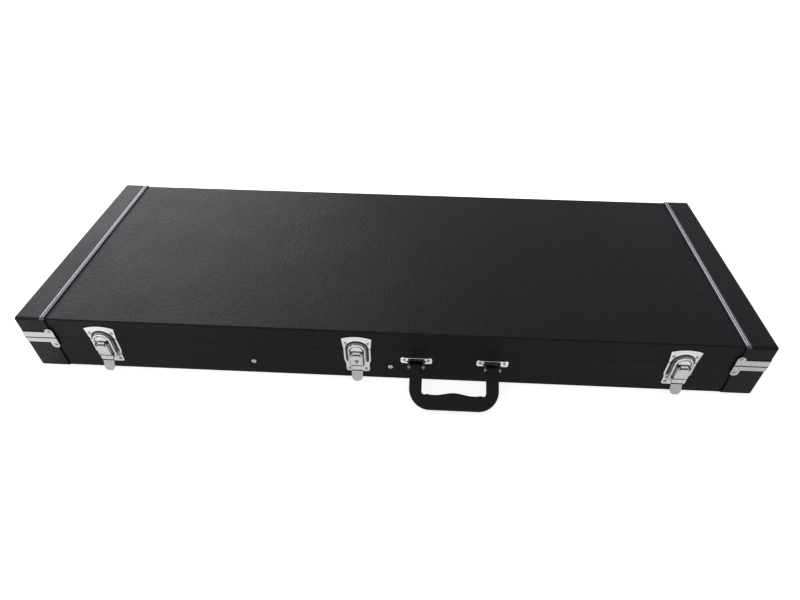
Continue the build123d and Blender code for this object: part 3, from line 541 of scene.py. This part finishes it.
def makeLidBand(side):
    s = bead
    node = f"lid_{side}_band"
    low, high = (np.array(corner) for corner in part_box(node))
    top = high[2] - s["cadHeight"]
    rounded(node, bandEdge, bandFinish, "lid", flatten=(2, top, 1))
    inner, out = (high[0], -1.0) if side == "left" else (low[0], 1.0)
    u = np.linspace(0.0, s["width"], s["across"])
    h = sum(tall * np.cos(math.pi / 2 * np.clip((u - middle) / half, -1, 1)) ** 2
            for middle, half, tall in s["ridges"])
    u = np.concatenate([[-s["lift"]], u]) * mm
    h = np.concatenate([[-s["sideDrop"]], h + s["lift"]]) * mm
    # the path: round the front edge, across the top and round the rear edge
    radius = s["corner"]
    turn = np.linspace(s["firstTurn"], math.pi / 2, s["turns"])
    inset, drop, level = radius * (1 - np.cos(turn)), radius * (1 - np.sin(turn)), np.zeros(s["along"])
    y = np.concatenate([low[1] + inset, np.linspace(low[1] + radius, high[1] - radius, s["along"] + 2)[1:-1],
                        high[1] - inset[::-1]])
    z = top - np.concatenate([drop, level, drop[::-1]])
    lean = np.concatenate([math.pi / 2 - turn, level, turn[::-1] - math.pi / 2])
    row = np.arange(len(y))
    fade = np.clip(np.minimum(row, row[::-1]) / s["fadeRows"], 0, 1)[:, None]
    rise = np.where(h > 0, h[None, :] * fade, h[None, :])
    points = np.stack([np.broadcast_to(inner + out * u, rise.shape),
                       y[:, None] - rise * np.sin(lean)[:, None],
                       z[:, None] + rise * np.cos(lean)[:, None]], -1)
    ridge = putMesh(f"lid_{side}_bead", points, gridFaces(len(y), len(u)), beadFinish)
    faceOut(ridge)
    if ridge.data.polygons[len(ridge.data.polygons) // 2].normal.z < 0:
        ridge.data.flip_normals()
    settle(ridge, "lid")


for side in ("left", "right"):
    makeLidBand(side)
print("lid bands made")


# Latches. Heights are above the floor and depths are out from the covering, in millimetres. The creases are
# heights with their half widths, where painted shade lines the lever. Screws have a radius and a height
latch = {"pivotZ": 56.0, "pivotOut": 7.0, "bailZ": 32.0, "bailLength": 40.5, "wire": 3.0, "bailGap": 0.3,
         "plate": 1.2, "bossOut": 6.6, "bossEase": 1.0, "bossRadius": 9.0, "bossLow": 0.9, "channel": 14.0,
         "channelWidth": 1.8, "channelDepth": 0.75, "ridge": 2.9, "ridgeWidth": 1.1, "ridgeHeight": 0.55,
         "rimStart": 0.35, "rimEase": 10.8, "channelEnd": 33.0, "channelFade": 6.0,
         "topWide": 20.75, "topZ": 81.4, "arch": 4.0, "wide": 18.75, "foot": 16.5,
         "neckZ": 38.2, "shoulder": 7.0, "footCorner": 3.5,
         "tongueHalf": 4.9, "tongueRadius": 3.8, "tongueRise": 1.4, "sheet": 1.2, "tabZ": 25.6,
         "tongueTurn": (-0.12, math.radians(112)), "channelShadeGain": 3.0, "channelShadeFloor": 0.5, "earFrom": 0.02,
         "backSkin": 0.01,
         "creases": ((58.8, 1.3), (36.8, 2.0), (26.8, 1.3))}
hardware = {"plateEdge": 0.25 * mm, "stripEdge": 0.22 * mm, "leverEdge": 0.28 * mm,
            "pinEdge": 0.15 * mm, "smallScrew": (2.3 * mm, 1.1 * mm), "largeScrew": (3.8 * mm, 1.6 * mm)}


# A pressed plate as a height field over an outline, with a skirt down to the covering. Its channel follows
# the bail: a ring round the boss that runs straight down beside the lever, a Gaussian across, with a ridge
# outside it. The boss and the plate's rim rise over a quarter circle
def platePoints(halfAt, lowZ, topAt, withBoss, across=92, up=60):
    u, v = np.meshgrid(np.linspace(-1, 1, across), np.linspace(0, 1, up), indexing="ij")
    z = lowZ + v * (topAt(u * latch["topWide"]) - lowZ)
    x = u * halfAt(z)
    z = lowZ + v * (topAt(x) - lowZ)
    barUnder = latch["bailZ"] + latch["bailLength"] - latch["wire"] / 2
    middleZ = barUnder - latch["bailGap"] - latch["bossRadius"]
    reach = np.where(z > middleZ, np.hypot(x, z - middleZ), abs(x))
    away = reach - latch["channel"]
    run = np.clip((z - latch["channelEnd"]) / latch["channelFade"], 0, 1)
    sink = np.exp(-(away / latch["channelWidth"]) ** 2) * run
    ridge = np.exp(-((away - latch["ridge"]) / latch["ridgeWidth"]) ** 2) * run
    out = latch["plate"] - latch["channelDepth"] * sink + latch["ridgeHeight"] * ridge
    if withBoss:
        inside = np.minimum(latch["bossRadius"] - np.hypot(x, z - middleZ), z - lowZ - latch["bossLow"])
        rise = np.sqrt(1 - (1 - np.clip(inside / latch["bossEase"], 0, 1)) ** 2)
        out = out + (latch["bossOut"] - out) * rise * (inside > 0)
    rim = np.minimum.reduce([1 - abs(u), v, 1 - v])
    out = out * np.sqrt(1 - (1 - np.clip(latch["rimStart"] + rim * latch["rimEase"], 0, 1)) ** 2)
    return x, z, out, sink


def makePlate(node, body, halfAt, lowZ, topAt, withBoss, atX):
    x, z, out, sink = platePoints(halfAt, lowZ, topAt, withBoss)
    rows, columns = x.shape
    face = np.stack([atX + x * mm, frontY - out * mm, z * mm], -1).reshape(-1, 3)
    rim = gridRim(rows, columns)
    skirt = face[rim]
    skirt[:, 1] = frontY
    faces = gridFaces(rows, columns) + skirtFaces(rim, len(face))
    piece = putMesh(node + "Pressed", np.concatenate([face, skirt]), faces, nickel)
    # painted shade and painted reflection along the channel round the bail, as crease marks
    dark = np.clip(sink * latch["channelShadeGain"] - latch["channelShadeFloor"], 0, 1)
    markPaintedShade(piece, np.concatenate([dark.ravel(), np.zeros(len(rim))]))
    faceOut(piece)
    sharpen(piece, 50)
    settle(piece, body, node)


# The plate's ears, kept from the CAD mesh: every face that reaches out past the plate
def makeEars(node):
    mesh = bpy.data.meshes.new(node + "Ears")
    work = bmesh.new()
    work.from_mesh(nodes[node].data)
    backY, plateY = (frontY - out * mm for out in (latch["backSkin"], latch["plate"] + latch["earFrom"]))
    gone = [face for face in work.faces if max(vert.co.y for vert in face.verts) > backY
            or min(vert.co.y for vert in face.verts) > plateY]
    bmesh.ops.delete(work, geom=gone, context="FACES")
    work.to_mesh(mesh)
    work.free()
    mesh.materials.clear()
    mesh.materials.append(nickel)
    ears = bpy.data.objects.new(node + "Ears", mesh)
    scene.collection.objects.link(ears)
    settle(ears, "body")


# The lever's web rolls on over its pin as a tongue between the ears, its radius growing with the turn
def makeTongue(side, atX):
    turn = np.linspace(*latch["tongueTurn"], 18)
    outer = latch["tongueRadius"] + latch["tongueRise"] * np.clip(turn / (math.pi / 2), 0, 1)
    loops = [np.stack([radius * np.cos(turn), radius * np.sin(turn)], -1)
             for radius in (outer, outer - latch["sheet"])]
    section = np.concatenate([loops[0], loops[1][::-1]]) + (latch["pivotOut"], latch["pivotZ"])
    points = [np.column_stack([np.full(len(section), atX + edge * latch["tongueHalf"] * mm),
                               frontY - section[:, 0] * mm, section[:, 1] * mm]) for edge in (-1, 1)]
    count = len(section)
    faces = gridFaces(2, count, joinColumns=True)
    faces += [tuple(range(count)), tuple(range(2 * count - 1, count - 1, -1))]
    piece = putMesh(f"latch_lever_{side}_roll", np.concatenate(points), faces, leverFinish)
    faceOut(piece)
    sharpen(piece, 40)
    settle(piece, f"lever_{side}")


# lever metal: painted shade along its folds and gaps at the creases; the tab below is duller
leverFinish = makeMetal("leverNickel", (0.50, 0.50, 0.495), 0.28, 0.08,
                        [(middle * mm, half * mm) for middle, half in latch["creases"]], latch["tabZ"] * mm)
for side in sides:
    atX = jointAt[f"latch_lever_{side}"][0]
    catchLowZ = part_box(f"latch_catch_{side}")[0][2] / mm
    baseLowZ, baseHighZ = (corner[2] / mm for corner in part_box(f"latch_base_{side}"))

    def catchHalf(z):
        share = (z - catchLowZ) / (latch["topZ"] - catchLowZ)
        return latch["wide"] + (latch["topWide"] - latch["wide"]) * share

    def catchTop(x):
        return latch["topZ"] + latch["arch"] * (1 - (x / latch["topWide"]) ** 2)

    # the foot's corners are rounded: the half width shrinks by a circle's sagitta
    def baseHalf(z):
        slope = np.clip((z - latch["neckZ"] + latch["shoulder"]) / latch["shoulder"], 0, 1)
        corner = np.clip(1 - (z - baseLowZ) / latch["footCorner"], 0, 1)
        return latch["foot"] + (latch["wide"] - latch["foot"]) * slope \
            - latch["footCorner"] * (1 - np.sqrt(1 - corner ** 2))

    makePlate(f"latch_catch_{side}", "lid", catchHalf, catchLowZ, catchTop, True, atX)
    makePlate(f"latch_base_{side}", "body", baseHalf, baseLowZ, lambda x: baseHighZ + 0 * x, False, atX)
    makeEars(f"latch_base_{side}")
    makeTongue(side, atX)
    rounded(f"latch_lever_{side}", hardware["leverEdge"], leverFinish, f"lever_{side}")
    rounded(f"latch_bail_{side}", 0.0, wireFinish, f"bail_{side}")
for half in ("body", "lid"):
    rounded(f"{half}_corner_strips", hardware["stripEdge"], satinNickel, half)
    rounded(f"hinge_{half}_leaves", hardware["stripEdge"], hingeFinish, half)
for side in ("left", "right"):
    strapLow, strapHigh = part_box(f"handle_bracket_{side}")
    strapMiddle = (strapLow[0] + strapHigh[0]) / 2
    finish = makeStrapFinish(f"strapNickel{side}", strapMiddle, strapHigh[2] - strap["lip"])
    rounded(f"handle_bracket_{side}", hardware["plateEdge"], finish, "body")


# A square grid pressed to a disc of radius one
def discGrid(count):
    t = np.linspace(-1.0, 1.0, count)
    u, v = np.meshgrid(t, t)
    return u * np.sqrt(1 - v * v / 2), v * np.sqrt(1 - u * u / 2)


# Lock face: a disc sunk in a key slot made of a bar and a leaning leg, in millimetres from its middle
lock = {"radius": 3.7, "z": 46.0, "sink": 0.28, "slope": 0.12, "back": 0.7, "grid": 61, "barHalf": 2.6,
        "barZ": 1.9, "thick": 1.15, "legTop": 1.4, "legLean": 0.32, "legLow": -3.5}


def makeLockFace():
    count = lock["grid"]
    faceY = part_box("lock_plug")[0][1]
    rounded("lock_plug", 0.0, steelFinish, "lock", flatten=(1, faceY + lock["back"] * mm, -1))
    x, z = (axis * lock["radius"] for axis in discGrid(count))
    bar = np.minimum(lock["barHalf"] - abs(x), lock["thick"] - abs(z - lock["barZ"]))
    legX = lock["legTop"] + lock["legLean"] * (z - lock["barZ"])
    leg = np.minimum.reduce([lock["thick"] - abs(x - legX), z - lock["legLow"], lock["barZ"] - z])
    slotted = np.clip(np.maximum(bar, leg) / lock["slope"], 0, 1)
    points = np.stack([jointAt["lock_turn"][0] + x * mm, faceY + lock["sink"] * mm * slotted,
                       (lock["z"] + z) * mm], -1).reshape(-1, 3)
    rim = gridRim(count, count)
    skirt = points[rim] + (0, lock["back"] * mm, 0)
    faces = gridFaces(count, count) + skirtFaces(rim, len(points))
    disc = putMesh("lockFace", np.concatenate([points, skirt]), faces, leverFinish)
    # painted shade in the key slot
    markPaintedShade(disc, np.concatenate([slotted.ravel(), np.zeros(len(rim))]))
    faceOut(disc)
    sharpen(disc, 50)
    settle(disc, "lock")


makeLockFace()
for node in ("hinge_pins", "latch_pivot_pins", "handle_pins", "compartment_hinge_pins"):
    rounded(node, hardware["pinEdge"], steelFinish, "body")
print("hardware finished")


# Screws: a domed disc, sunk where the cross is, on a short collar; painted shade darkens its edge and cross
screw = {"grid": 25, "collarShare": 0.42, "domePower": 2.4, "crossWidth": 0.17, "crossReach": 0.62,
         "crossGain": 2.2, "crossDepth": 0.55, "darkFrom": 0.8, "darkFade": 0.1, "cornerZone": 12 * mm}


def screwShape(radius, height):
    s = screw
    x, y = discGrid(s["grid"])
    r = np.sqrt(x * x + y * y)
    rounding = np.sqrt(np.clip(1 - r ** s["domePower"], 0, 1))
    dome = height * (s["collarShare"] + (1 - s["collarShare"]) * rounding)
    arm = np.maximum(1 - np.minimum(abs(x), abs(y)) / s["crossWidth"], 0) * (r < s["crossReach"])
    cross = np.clip(arm * s["crossGain"], 0, 1)
    top = np.stack([x * radius, y * radius, dome - height * s["crossDepth"] * cross], -1).reshape(-1, 3)
    rim = gridRim(s["grid"], s["grid"])
    faces = gridFaces(s["grid"], s["grid"]) + skirtFaces(rim, len(top))
    shade = np.clip(np.clip((r - s["darkFrom"]) / s["darkFade"], 0, 1) + cross, 0, 1)
    shade = np.concatenate([shade.ravel(), np.ones(len(rim))])
    return np.concatenate([top, top[rim] * (1, 1, 0)]), faces, shade


# One node of screws: each screw's middle and way out are read from the box of its joined points
def makeScrews(node, body, radius, height):
    work = bmesh.new()
    work.from_mesh(nodes[node].data)
    bmesh.ops.remove_doubles(work, verts=work.verts, dist=copied["merge"])
    seen, groups = set(), []
    for vert in work.verts:
        if vert in seen:
            continue
        stack, group = [vert], []
        seen.add(vert)
        while stack:
            here = stack.pop()
            group.append(here.co[:])
            for edge in here.link_edges:
                other = edge.other_vert(here)
                if other not in seen:
                    seen.add(other)
                    stack.append(other)
        groups.append(np.array(group))
    work.free()
    points, faces = [], []
    shape, shapeFaces, shade = screwShape(radius, height)
    x, y, z = shape.T
    rng = np.random.default_rng(7)
    for group in groups:
        low, high = group.min(0), group.max(0)
        middle = (low + high) / 2
        atEnd = abs(middle[0]) > bodyHigh[0] - screw["cornerZone"]
        axis = 0 if atEnd and high[0] - low[0] > high[1] - low[1] else 1
        out = np.zeros(3)
        out[axis] = 1.0 if middle[axis] > (0.0, centreY)[axis] else -1.0
        across = np.cross((0, 0, 1), out)
        seat = middle.copy()
        tip = high[axis] if out[axis] > 0 else low[axis]
        seat[axis] = tip - out[axis] * height
        turn = rng.uniform(0, math.pi)
        c, s = math.cos(turn), math.sin(turn)
        first = len(shape) * len(points)
        points.append(seat + np.outer(x * c - y * s, across) + np.outer(x * s + y * c, (0, 0, 1))
                      + np.outer(z, out))
        faces += [tuple(int(i) + first for i in face) for face in shapeFaces]
    piece = putMesh(node + "Heads", np.concatenate(points), faces, steelFinish)
    markPaintedShade(piece, np.tile(shade, len(groups)))
    sharpen(piece, 40)
    settle(piece, body, node)


for node, body in (("body_trim_screws", "body"), ("lid_trim_screws", "lid"), ("latch_base_screws", "body"),
                   ("latch_catch_screws", "lid"), ("hinge_body_screws", "body"), ("hinge_lid_screws", "lid")):
    makeScrews(node, body, *hardware["smallScrew"])
makeScrews("partition_screws", "body", *hardware["largeScrew"])
print("screws made")


# Handle: a section carried along the grip, its width the gap between an outer and an inner outline. Sizes are
# in millimetres from the middle of the pivot, outward along the handle
handleShape = {"legInner": 44.25, "legOuter": 61.75, "legEnd": 5.5, "depth": 57.0, "corner": 29.0,
               "innerCorner": 4.2, "gripInner": 36.5, "wave": 3.4, "humpHalf": 26.0, "nub": 1.1, "nubX": 36.5,
               "nubHalf": 2.4, "thickness": 5.45, "power": 3.4, "lean": math.radians(33.5), "endRows": 5.0,
               "endShare": 0.25, "least": 0.02, "legs": 30, "turns": 26, "grip": 30, "around": 48}


# One half of an outline, from the leg's end to the grip's middle: the leg, a quarter turn, the level edge
def handleOutline(x, depth, corner):
    s = handleShape
    quarter = np.linspace(0, math.pi / 2, s["turns"] + 1)[1:]
    half = np.linspace(0, 1, s["grip"] + 1)[1:]
    turnX = -x + corner * (1 - np.cos(quarter))
    return (np.concatenate([np.full(s["legs"], -x), turnX, turnX[-1] * (1 - half)]),
            np.concatenate([np.linspace(-s["legEnd"], depth - corner, s["legs"]),
                            depth - corner + corner * np.sin(quarter), np.full(s["grip"], depth)]))


def makeHandle():
    s = handleShape
    ox, ov = handleOutline(s["legOuter"], s["depth"], s["corner"])
    ix, iv = handleOutline(s["legInner"], s["gripInner"], s["innerCorner"])
    # the grip's inner edge has a raised cosine hump in its middle and a small Gaussian nub near each leg
    gripX = ix[-s["grip"]:]
    reach = np.clip(abs(gripX) / s["humpHalf"], 0, 1)
    nub = s["nub"] * np.exp(-((abs(gripX) - s["nubX"]) / s["nubHalf"]) ** 2)
    iv[-s["grip"]:] -= s["wave"] * 0.5 * (1 + np.cos(math.pi * reach)) + nub
    ox, ix = (np.concatenate([half, -half[-2::-1]]) for half in (ox, ix))
    ov, iv = (np.concatenate([half, half[-2::-1]]) for half in (ov, iv))
    count = len(ox)
    # both ends close over a quarter round: the section shrinks as the square root
    row = np.arange(count)
    ends = np.clip(np.minimum(row, row[::-1]) / s["endRows"], 0, 1)
    shrink = (np.sqrt(1 - (1 - ends) ** 2) * (1 - s["least"]) + s["least"])[:, None]
    # the section is a superellipse
    angle = np.linspace(0, 2 * math.pi, s["around"], endpoint=False)
    ca, sa = (np.sign(wave) * abs(wave) ** (2.0 / s["power"]) for wave in (np.cos(angle), np.sin(angle)))
    across = ca[None, :] * (1 - s["endShare"] + s["endShare"] * shrink)
    x = ((ox + ix) / 2)[:, None] + ((ox - ix) / 2)[:, None] * across
    v = ((ov + iv) / 2)[:, None] + ((ov - iv) / 2)[:, None] * across
    w = s["thickness"] * sa[None, :] * shrink
    c, d = math.cos(s["lean"]) * mm, math.sin(s["lean"]) * mm
    pivot = jointAt["handle_swing"]
    points = np.stack([pivot[0] + x * mm, pivot[1] - v * c + w * d, pivot[2] - v * d - w * c], -1)
    around = s["around"]
    faces = gridFaces(count, around, joinColumns=True)
    faces.append(list(range(around)))
    faces.append(list(range(count * around - 1, (count - 1) * around - 1, -1)))
    piece = putMesh("handleMoulded", points, faces, handleFinish)
    faceOut(piece)
    settle(piece, "handle", "handle")


makeHandle()
print("handle made")


# Distance inside a rounded rectangle, positive within it
def insideRound(x, y, cx, cy, length, width, radius):
    dx = abs(x - cx) - (length / 2 - radius)
    dy = abs(y - cy) - (width / 2 - radius)
    return radius - np.hypot(np.maximum(dx, 0), np.maximum(dy, 0)) - np.minimum(np.maximum(dx, dy), 0)


# From nought to one over a width, level at both ends
def easeStep(distance, width):
    t = np.clip(0.5 + distance / width, 0, 1)
    return t * t * (3 - 2 * t)


# Cradle: a height field that steps down into the guitar's bay and the neck's channel, its outer edges crowned
cradle = {"bayLength": 440 * mm, "bayWidth": 312 * mm, "bayRadius": 105 * mm, "endWall": 18 * mm,
          "pad": 4 * mm, "neckWidth": 62 * mm, "neckFloor": 14 * mm, "edge": 9 * mm, "edgeIn": 3 * mm,
          "lip": 2.8 * mm, "under": 0.6 * mm, "crown": 2.2 * mm, "crownWidth": 6 * mm, "wave": 0.3 * mm,
          "waveX": 31 * mm, "waveY": 23 * mm, "step": 2.4 * mm, "lift": 0.1 * mm}


def makeCradle():
    s = cradle
    low, high = (np.array(corner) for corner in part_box("body_cradle"))
    left, right, front, rear = low[0], high[0] - s["lip"], low[1] + s["lip"], high[1] - s["lip"]
    bayX = high[0] - s["endWall"] - s["bayLength"] / 2
    nx, ny = (int(round(span / s["step"])) + 1 for span in (right - left, rear - front))
    x, y = np.meshgrid(np.linspace(left, right, nx), np.linspace(front, rear, ny), indexing="ij")
    bay = insideRound(x, y, bayX, centreY, s["bayLength"], s["bayWidth"], s["bayRadius"])
    neck = np.minimum(s["neckWidth"] / 2 - abs(y - centreY), bayX - x)
    edges = np.minimum.reduce([x - left, right - x, y - front, rear - y])
    top = high[2] - s["under"]
    crowned = top - s["crown"] * (1 - np.clip(edges / s["crownWidth"], 0, 1)) ** 2
    steps = [crowned - (top - floor) * easeStep(inside - s["edgeIn"], s["edge"])
             for inside, floor in ((neck, low[2] + s["neckFloor"]), (bay, low[2] + s["pad"]))]
    z = np.minimum(*steps) + s["wave"] * np.sin(x / s["waveX"]) * np.sin(y / s["waveY"])
    field = np.stack([x, y, z], -1).reshape(-1, 3)
    rim = gridRim(nx, ny)
    foot = field[rim]
    foot[:, 2] = low[2] + s["lift"]
    faces = gridFaces(nx, ny) + skirtFaces(rim, nx * ny)
    piece = putMesh("bodyCradlePlush", np.concatenate([field, foot]), faces, plushFinish)
    faceOut(piece)
    sharpen(piece, 50)
    settle(piece, "body", "body_cradle")


makeCradle()


# Lid pad: a crowned cushion, its height a power of the distance from its rounded edge, quilted by two seams
padShape = {"crown": 3.0 * mm, "edge": 26 * mm, "radius": 40 * mm, "bulgePower": 2.2, "seamWidth": 5 * mm,
            "seamDepth": 3.2 * mm, "rings": 40, "around": 220, "outlinePower": 0.36, "ringPower": 1.6,
            "innermost": 0.985, "back": 0.995, "fill": 0.7}


def makeLidPad():
    s = padShape
    low, high = (np.array(corner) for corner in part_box("lid_pad"))
    length, width = high[0] - low[0], high[1] - low[1]
    cx, cy = (low[0] + high[0]) / 2, (low[1] + high[1]) / 2
    rings, around = s["rings"], s["around"]
    # the outline is a superellipse
    angle = np.linspace(0, 2 * math.pi, around, endpoint=False)
    ex, ey = (np.sign(wave) * abs(wave) ** s["outlinePower"] * span / 2
              for wave, span in ((np.cos(angle), length), (np.sin(angle), width)))
    # rings shrink from the edge to the middle, close together near the edge
    reach = 1 - np.linspace(0.0, 1.0, rings)[:, None] ** s["ringPower"] * s["innermost"]
    x, y = cx + ex * reach, cy + ey * reach
    edge = np.clip(insideRound(x, y, cx, cy, length, width, s["radius"]) / s["edge"], 0, 1)
    bulge = (high[2] - low[2] - s["crown"]) * np.sqrt(1 - (1 - edge) ** s["bulgePower"])
    seams = sum(np.exp(-((x - cx - k * length / 6) / s["seamWidth"]) ** 2) for k in (-1, 1))
    crown = s["crown"] * np.cos((x - cx) / length * math.pi) * np.cos((y - cy) / width * math.pi)
    ring = np.stack([x, y, high[2] - bulge - crown + s["seamDepth"] * seams * edge], -1)
    back = np.stack([cx + ex * s["back"], cy + ey * s["back"], np.full_like(ex, high[2])], -1)[None]
    faces = gridFaces(rings + 1, around, joinColumns=True)
    faces.append(list(range(around)))
    faces.append(list(range((rings + 1) * around - 1, rings * around - 1, -1)))
    piece = putMesh("lidPadCushion", np.concatenate([back, ring]), faces, plushFinish)
    faceOut(piece)
    settle(piece, "lid", "lid_pad")


makeLidPad()


# Linings: trays lofted from outline to outline, with the pile rounding every inner corner
tray = {"thickness": 2.0 * mm, "soft": 7 * mm, "cornerSteps": 8, "edgeSteps": 60, "outerRadius": 0.4 * mm,
        "leastInset": 0.5 * mm, "innerRadius": 1.5 * mm, "wave": 0.25 * mm,
        "waveX": 17 * mm, "waveY": 13 * mm}


def makeLining(node, name, body, openUp):
    s = tray
    low, high = (np.array(corner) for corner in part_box(node))
    away = -1.0 if openUp else 1.0
    deep, rim = (low[2], high[2]) if openUp else (high[2], low[2])
    middle, half = (low[:2] + high[:2]) / 2, (high[:2] - low[:2]) / 2

    # a rounded rectangle: quarter turns at the four corners, joined by straight runs
    def outline(inset, radius):
        parts = []
        corners = [(1, 1), (-1, 1), (-1, -1), (1, -1)]
        for k, corner in enumerate(corners):
            a = np.linspace(0, math.pi / 2, s["cornerSteps"]) + k * math.pi / 2
            here, there = (middle + np.array(c) * (half - inset - radius) for c in (corner, corners[k - 3]))
            bend = np.stack([np.cos(a), np.sin(a)], -1) * radius
            t = np.linspace(0, 1, s["edgeSteps"])[1:-1, None]
            parts += [here + bend, (here + bend[-1]) * (1 - t) + (there + bend[-1]) * t]
        return np.concatenate(parts)

    edge = outline(0.0, s["outerRadius"])
    around = len(edge)
    rings = [np.column_stack([edge, np.full(around, z)]) for z in (deep, rim)]
    # the rim turns over a half round, then the wall runs down and turns into the floor
    lipRound = s["thickness"] / 2
    inner = [(lipRound * (1 - math.cos(a)), rim + away * lipRound * (1 - math.sin(a)))
             for a in np.linspace(0, math.pi, 7)[1:]]
    floorLevel = deep - away * s["thickness"]
    inner.append((s["thickness"], (rim + floorLevel) / 2))
    for a in np.linspace(0, math.pi / 2, 8):
        inner.append((s["thickness"] + s["soft"] * (1 - math.cos(a)),
                      floorLevel - away * s["soft"] * (1 - math.sin(a))))
    for inset, z in inner:
        ring = outline(inset, max(inset, s["leastInset"]) + s["innerRadius"])
        wave = s["wave"] * np.sin(ring[:, 0] / s["waveX"]) * np.sin(ring[:, 1] / s["waveY"] + 1.0)
        rings.append(np.column_stack([ring, z - away * abs(wave)]))
    faces = gridFaces(len(rings), around, joinColumns=True)
    faces.append(list(range(around)))
    faces.append(list(range(len(rings) * around - 1, (len(rings) - 1) * around - 1, -1)))
    piece = putMesh(name, np.concatenate(rings), faces, plushFinish)
    faceOut(piece)
    sharpen(piece, 60)
    settle(piece, body, node)


makeLining("body_lining", "bodyLiningPlush", "body", True)
makeLining("lid_lining", "lidLiningPlush", "lid", False)


# Ribbon pull: a strip whose height is a low hump, a power of a half sine along it
pull = {"along": 36, "across": 10, "widthShare": 0.92, "lift": 0.15 * mm, "humpShare": 0.5,
        "humpLength": 1.15, "humpPower": 0.7, "thickness": 0.45 * mm}


def makePull():
    s = pull
    low, high = (np.array(corner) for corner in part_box("compartment_pull"))
    t, u = np.meshgrid(np.linspace(0, 1, s["along"]), np.linspace(-1, 1, s["across"]), indexing="ij")
    x = (low[0] + high[0]) / 2 + u * (high[0] - low[0]) / 2 * s["widthShare"]
    y = high[1] + (low[1] - high[1]) * t
    hump = np.sin(math.pi * np.clip(t * s["humpLength"], 0, 1)) ** s["humpPower"]
    z = low[2] + s["lift"] + (high[2] - low[2]) * s["humpShare"] * hump
    faces = gridFaces(s["along"], s["across"])
    piece = putMesh("compartmentPullRibbon", np.stack([x, y, z], -1), faces, ribbonFinish)
    thick = piece.modifiers.new("thickness", "SOLIDIFY")
    thick.thickness = s["thickness"]
    thick.offset = 0.0
    settle(piece, "compartment_lid", "compartment_pull")


makePull()
print("soft inside made")
